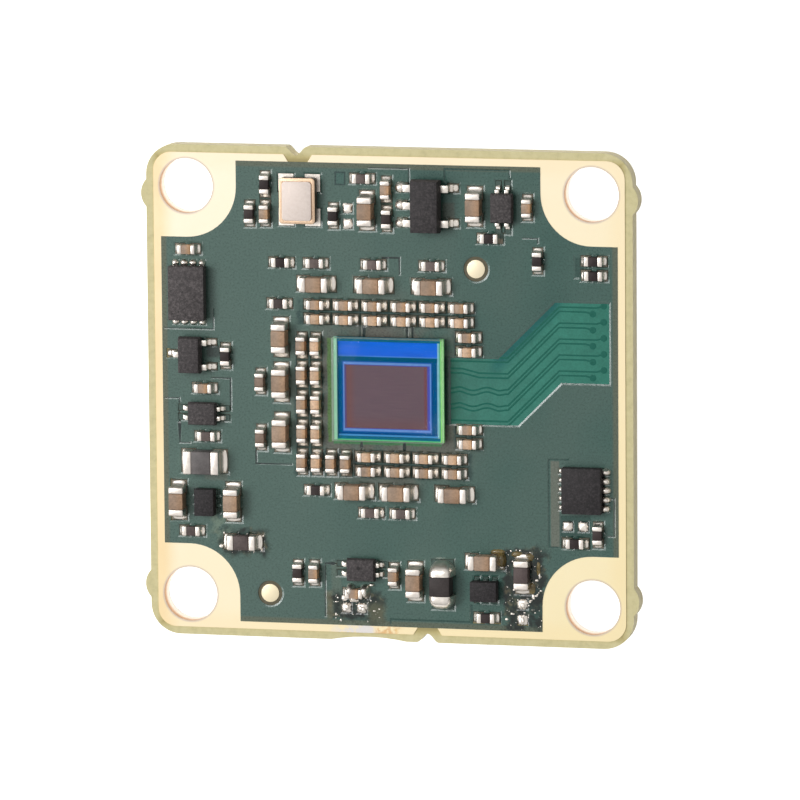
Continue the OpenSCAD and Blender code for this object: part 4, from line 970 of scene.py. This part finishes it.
def choke_domes():
    """Heavy rounded solder over both ends of the choke."""
    ends, solder = node_mesh("choke_ends"), node_mesh("choke_solder")
    body_lo, body_hi = extent(ends.verts)
    far_lo, far_hi = extent(solder.verts)
    middle = (body_lo + body_hi) / (2.0 * MM)
    half = (body_hi.x - body_lo.x) / (2.0 * MM) + 0.13
    base, top = far_lo.z / MM, body_hi.z / MM + 0.02
    n, m = 14, 16
    bm = bmesh.new()
    for group in islands(ends):
        lo, hi = extent(group)
        sign = 1.0 if (lo.y + hi.y) / (2.0 * MM) > middle.y else -1.0
        inner = (lo.y if sign > 0 else hi.y) / MM
        outer = (far_hi.y if sign > 0 else far_lo.y) / MM

        def place(i, j):
            u, w = i / n, -1.0 + 2.0 * j / m
            wide = half * max(0.0, 1.0 - max(0.0, (u - 0.12) / 0.88) ** 2.2) ** 0.5
            rise = max(0.0, 1.0 - max(0.0, (u - 0.2) / 0.8) ** 2.0) ** 0.6
            h = (top - base) * rise * max(0.0, 1.0 - abs(w) ** 5) ** 0.5
            return middle.x + wide * w, inner + (outer - inner) * u, base + h

        grid = points(bm, n, m, place)
        skin(bm, grid)
        bm.faces.new(grid[0])
        bm.faces.new([r[0] for r in grid] + [r[-1] for r in reversed(grid)])
    ends.free()
    solder.free()
    bmesh.ops.remove_doubles(bm, verts=bm.verts, dist=WELD)
    bmesh.ops.recalc_face_normals(bm, faces=bm.faces)
    finish_piece("choke_domes", bm, "solder", ("choke_ends", "choke_solder"), ROUND_DEG)


def splashes():
    """Beads and streaks of solder left by rework."""
    bm = bmesh.new()
    rng = random.Random(13)
    spots = [(8.3, -9.6, 0.09), (8.12, -9.85, 0.07), (7.95, -10.75, 0.08), (-9.5, -8.55, 0.08), (-7.2, -8.7, 0.07),
             (-7.1, -7.9, 0.06), (-0.75, -9.2, 0.1), (-2.05, -11.3, 0.14), (-2.6, -11.2, 0.1), (-7.35, -8.2, 0.15),
             (-7.45, -8.55, 0.1)]
    fields = ((6.4, 8.4, -12.6, -8.2, 80), (-9.4, -7.0, -8.9, -7.7, 20), (-3.2, -0.6, -12.5, -10.8, 30))
    for x0, x1, y0, y1, count in fields:
        for _ in range(count):
            spots.append((rng.uniform(x0, x1), rng.uniform(y0, y1), rng.choice((0.018, 0.022, 0.03, 0.03, 0.05))))
    for x, y, r in spots:
        dome(bm, (x, y), r * rng.uniform(0.6, 2.0), r * rng.uniform(0.6, 2.0), BEAD_BASE, r * 0.7, rng, 2.0, 6, 0.2)
    for x, y, half_x, half_y, tall in ((-2.22, -10.7, 0.24, 0.36, 0.62), (-1.4, -10.74, 0.26, 0.38, 0.62),
                                       (-2.1, -11.2, 0.22, 0.12, 0.2), (-1.05, -10.4, 0.16, 0.1, 0.2)):
        dome(bm, (x, y), half_x, half_y, BEAD_BASE, tall, rng, 2.6)
    x, y, streak_end = 7.62, -11.12, 8.4
    while x < streak_end:
        dome(bm, (x + rng.uniform(-0.06, 0.06), y), rng.uniform(0.05, 0.11), rng.uniform(0.04, 0.07),
             BEAD_BASE, 0.05, rng, 2.0, 6, 0.2)
        x += rng.uniform(0.07, 0.16)
        y += rng.uniform(0.05, 0.14)
    finish_piece("splashes", bm, "solder", sharp_deg=ROUND_DEG)


def flux_spill():
    """Hardened amber flux beside the reworked parts."""
    bm = bmesh.new()
    rng = random.Random(14)
    for x, y, half_x, half_y, tall in ((6.2, -8.8, 0.26, 0.42, 0.3), (6.0, -8.35, 0.4, 0.14, 0.12),
                                       (7.05, -8.45, 0.3, 0.16, 0.1), (7.75, -8.6, 0.26, 0.2, 0.1),
                                       (8.25, -9.2, 0.12, 0.4, 0.06), (7.9, -10.3, 0.2, 0.3, 0.08)):
        dome(bm, (x, y), half_x, half_y, BEAD_BASE, tall, rng, 2.4, jag=0.1)
    finish_piece("flux_spill", bm, "solder", sharp_deg=ROUND_DEG, look="flux")


def lands():
    """The front lands in two pieces: bright under the oscillator, dull under the other parts, where the dull tin is
    partly painted shade.
    """
    bright = node_mesh("front_lands")
    dull = bright.copy()
    for bm, keep in ((bright, True), (dull, False)):
        for group in islands(bm):
            lo, hi = extent(group)
            mid = (lo + hi) / (2.0 * MM)
            if (-6.3 < mid.x < -3.5 and mid.y > 9.0) != keep:
                bmesh.ops.delete(bm, geom=group, context="VERTS")
    finish_piece("oscillator_lands", bright, "tinned_metal", look="solder")
    finish_piece("part_lands", dull, "tinned_metal", ("front_lands",), look="land_tin")


# ---- pieces

def orange_tone(at, value):
    """Dark in the column at the left, light in the ring around the sensor."""
    if -8.5 < at.x < -6.9 and abs(at.y) < 3.0:
        return 0.15
    inner = (any(abs(at.y - y) < 0.2 for y in (4.15, -3.33, -2.46, 2.57)) and at.x > -4.5
             or abs(at.x + 4.03) < 0.2 and -4.2 < at.y < 3.0)
    return (0.85 if inner else 0.35) + 0.15 * value


def resistor_tone(at, value):
    for x, y, tone in LIGHT_RESISTORS:
        if abs(at.x - x) < 0.5 and abs(at.y - y) < 0.5:
            return tone
    return 0.3 * value


mask_film()
lane_bed()
lane_traces()
fillets("chip_solder", 0.09, 0.3, 3)
fillets("lead_solder", 0.07, 0.2, 4)
pin_blobs()
pad_lumps()
choke_domes()
splashes()
flux_spill()
fillets("rear_solder", 0.09, 0.4, 5)

for node, slot, bevel in (
        ("fiducials", "gold_plating", 0.012),
        ("sensor_glass", "cover_glass", 0.018),
        ("oscillator_base", "dark_ceramic", 0.03), ("oscillator_lid", "lid_metal", 0.03),
        ("regulator_leads", "lead_metal", 0.03), ("small_regulator_leads", "lead_metal", 0.025),
        ("transistor_leads", "lead_metal", 0.03), ("memory_terminals", "lead_metal", 0.02),
        ("driver_terminals", "lead_metal", 0.02),
        ("filter_ends", "tinned_metal", 0.06),
        ("large_capacitors", "brown_ceramic", 0.05),
        ("filter_body", "grey_ceramic", 0.04),
        ("rear_capacitors", "brown_ceramic", 0.05), ("rear_capacitor_ends", "tinned_metal", 0.05),
        ("inductor_bodies", "ferrite", 0.08), ("inductor_ends", "tinned_metal", 0.05),
        ("converter_terminals", "lead_metal", 0.015),
        ("connector_housing", "connector_plastic", 0.03), ("connector_contacts", "contact_gold", 0.012),
        ("connector_hold_downs", "lead_metal", 0.02)):
    dress(node, slot, bevel, seed=len(node))
for node, bevel in (("small_capacitor_ends", 0.07), ("large_capacitor_ends", 0.09), ("resistor_ends", 0.05),
                    ("ferrite_chip_ends", 0.08)):
    dress(node, "tinned_metal", bevel, 3, seed=7)
for node, bevel, tone in (
        ("regulator_body", 0.03, 0.6), ("small_regulator_bodies", 0.03, 0.85), ("transistor_body", 0.03, 0.8),
        ("memory_body", 0.025, 1.0), ("driver_body", 0.025, 0.4), ("switch_bodies", 0.025, 0.3),
        ("converter_bodies", 0.025, 0.6)):
    dress(node, "black_mould", bevel, tone=lambda at, value, tone=tone: tone)
dress("oscillator_ring", "gold_plating", 0.03, look="ring_metal")
# The switch terminals take the land_tin look, whose mask green there is painted shade.
dress("switch_terminals", "lead_metal", 0.02, look="land_tin")
dress("ferrite_chips", "ferrite", 0.05, tone=lambda at, value: 1.0)
dress("choke_body", "ferrite", 0.06, tone=lambda at, value: 0.55)
dress("small_capacitors", "orange_ceramic", 0.03, tone=orange_tone, seed=5)
dress("resistors", "resistor_coat", 0.03, tone=resistor_tone, seed=6)

lands()
for node, slot in (("board_laminate", "laminate"), ("ground_plating", "gold_plating"),
                   ("solder_mask_back", "rear_mask"), ("rear_lands", "tinned_metal"),
                   ("sensor_balls", "tinned_metal"), ("sensor_die", "silicon"), ("pixel_array", "pixel_filter"),
                   ("light_shield", "shield_metal"), ("sensor_dam", "dam_adhesive")):
    mesh = NODES[node].data
    mesh.materials.clear()
    mesh.materials.append(LOOK[slot])


# ---- stage

def stage_floor():
    """White paper under the part, brighter to the camera and in reflections than to the part."""
    spokes = 48
    bm = bmesh.new()
    loops = [[bm.verts.new((r * x, r * y, 0.0)) for x, y in circle(spokes)]
             for r in (0.02, 0.05, 0.12, 0.3, 0.8, 1.5)]
    hub = bm.verts.new((0.0, 0.0, 0.0))
    for k in range(spokes):
        bm.faces.new((hub, loops[0][k - 1], loops[0][k]))
    for a, b in zip(loops, loops[1:]):
        band(bm, b, a)
    mesh = bpy.data.meshes.new("floor")
    bm.to_mesh(mesh)
    bm.free()
    floor = new_object("floor", mesh)
    s = Surface("floor_paper", gloss=0.0)
    s.set("Base Color", s.grey(s.noise(1.5), (0.3, 0.76), (0.7, 0.8)))
    s.set("Roughness", 0.9)
    path = s.node("ShaderNodeLightPath").outputs
    glow = s.node("ShaderNodeEmission")
    seen = s.most(path["Is Camera Ray"], path["Is Glossy Ray"])
    s.link(s.span(seen, 0.0, 1.0, 0.0, 0.9, False), glow.inputs["Strength"])
    both = s.node("ShaderNodeAddShader")
    s.link(s.bsdf.outputs[0], both.inputs[0])
    s.link(glow.outputs[0], both.inputs[1])
    s.surface(both.outputs[0])
    mesh.materials.append(s.mat)


def world_light(level):
    """A soft sky, brightest above the left, and another one for the camera and for reflections."""
    world = bpy.data.worlds.new("studio")
    bpy.context.scene.world = world
    world.use_nodes = True
    w = Nodes(world.node_tree)
    w.tree.nodes.clear()
    path = w.node("ShaderNodeLightPath").outputs
    seen = w.most(path["Is Camera Ray"], path["Is Glossy Ray"], path["Is Transmission Ray"])
    way = w.node("ShaderNodeTexCoord").outputs["Generated"]
    lean = w.node("ShaderNodeVectorMath", operation="DOT_PRODUCT")
    lean.inputs[1].default_value = (-0.45, 0.0, 0.85)
    w.link(way, lean.inputs[0])
    skies = []
    for strength in (w.span(lean.outputs["Value"], -0.12, 0.85, 0.03 * level, level, False),
                     w.span(w.parts(way)[2], 0.08, 0.5, 0.05, 0.85)):
        sky = w.node("ShaderNodeBackground")
        sky.inputs["Color"].default_value = WHITE
        w.link(strength, sky.inputs["Strength"])
        skies.append(sky.outputs[0])
    out = w.node("ShaderNodeOutputWorld")
    w.link(w.blend(seen, *skies), out.inputs["Surface"])


def lamp(name, direction, size, power):
    """A round lamp that looks at the part. Its sizes are in metres."""
    distance, target = 0.5, Vector((0.0, 0.0, 0.0025))
    data = bpy.data.lights.new(name, "AREA")
    data.shape = "DISK"
    data.size = size
    data.energy = power
    obj = new_object(name, data)
    obj.location = Vector(direction).normalized() * distance
    obj.rotation_euler = (target - obj.location).to_track_quat("-Z", "Y").to_euler()


def main_camera():
    """The view that the part was fitted to."""
    view = Vector((0.2322, 0.1542, 0.9604)).normalized()
    target = Vector((0.6088, -0.1866, 2.54)) * MM
    distance, roll = 425.10, -0.0079
    right = Vector((0.0, 1.0, 0.0)).cross(view).normalized()
    up = view.cross(right)
    x = right * math.cos(roll) + up * math.sin(roll)
    y = up * math.cos(roll) - right * math.sin(roll)
    data = bpy.data.cameras.new("camera")
    data.sensor_width = 36.0
    data.lens = 353.3
    data.clip_start = 0.01
    data.clip_end = 10.0
    camera = new_object("camera", data)
    spot = Matrix((x, y, view)).transposed().to_4x4()
    spot.translation = target + view * distance * MM
    camera.matrix_world = spot
    bpy.context.scene.camera = camera


stage_floor()
world_light(0.4)
lamp("key", (-0.566, 0.18, 0.804), 0.2, 0.95)
lamp("upper", (-0.232, 0.347, 0.909), 0.14, 0.26)
lamp("side", (-0.681, -0.154, 0.716), 0.14, 0.3)
main_camera()
bpy.context.scene.view_settings.view_transform = "Standard"
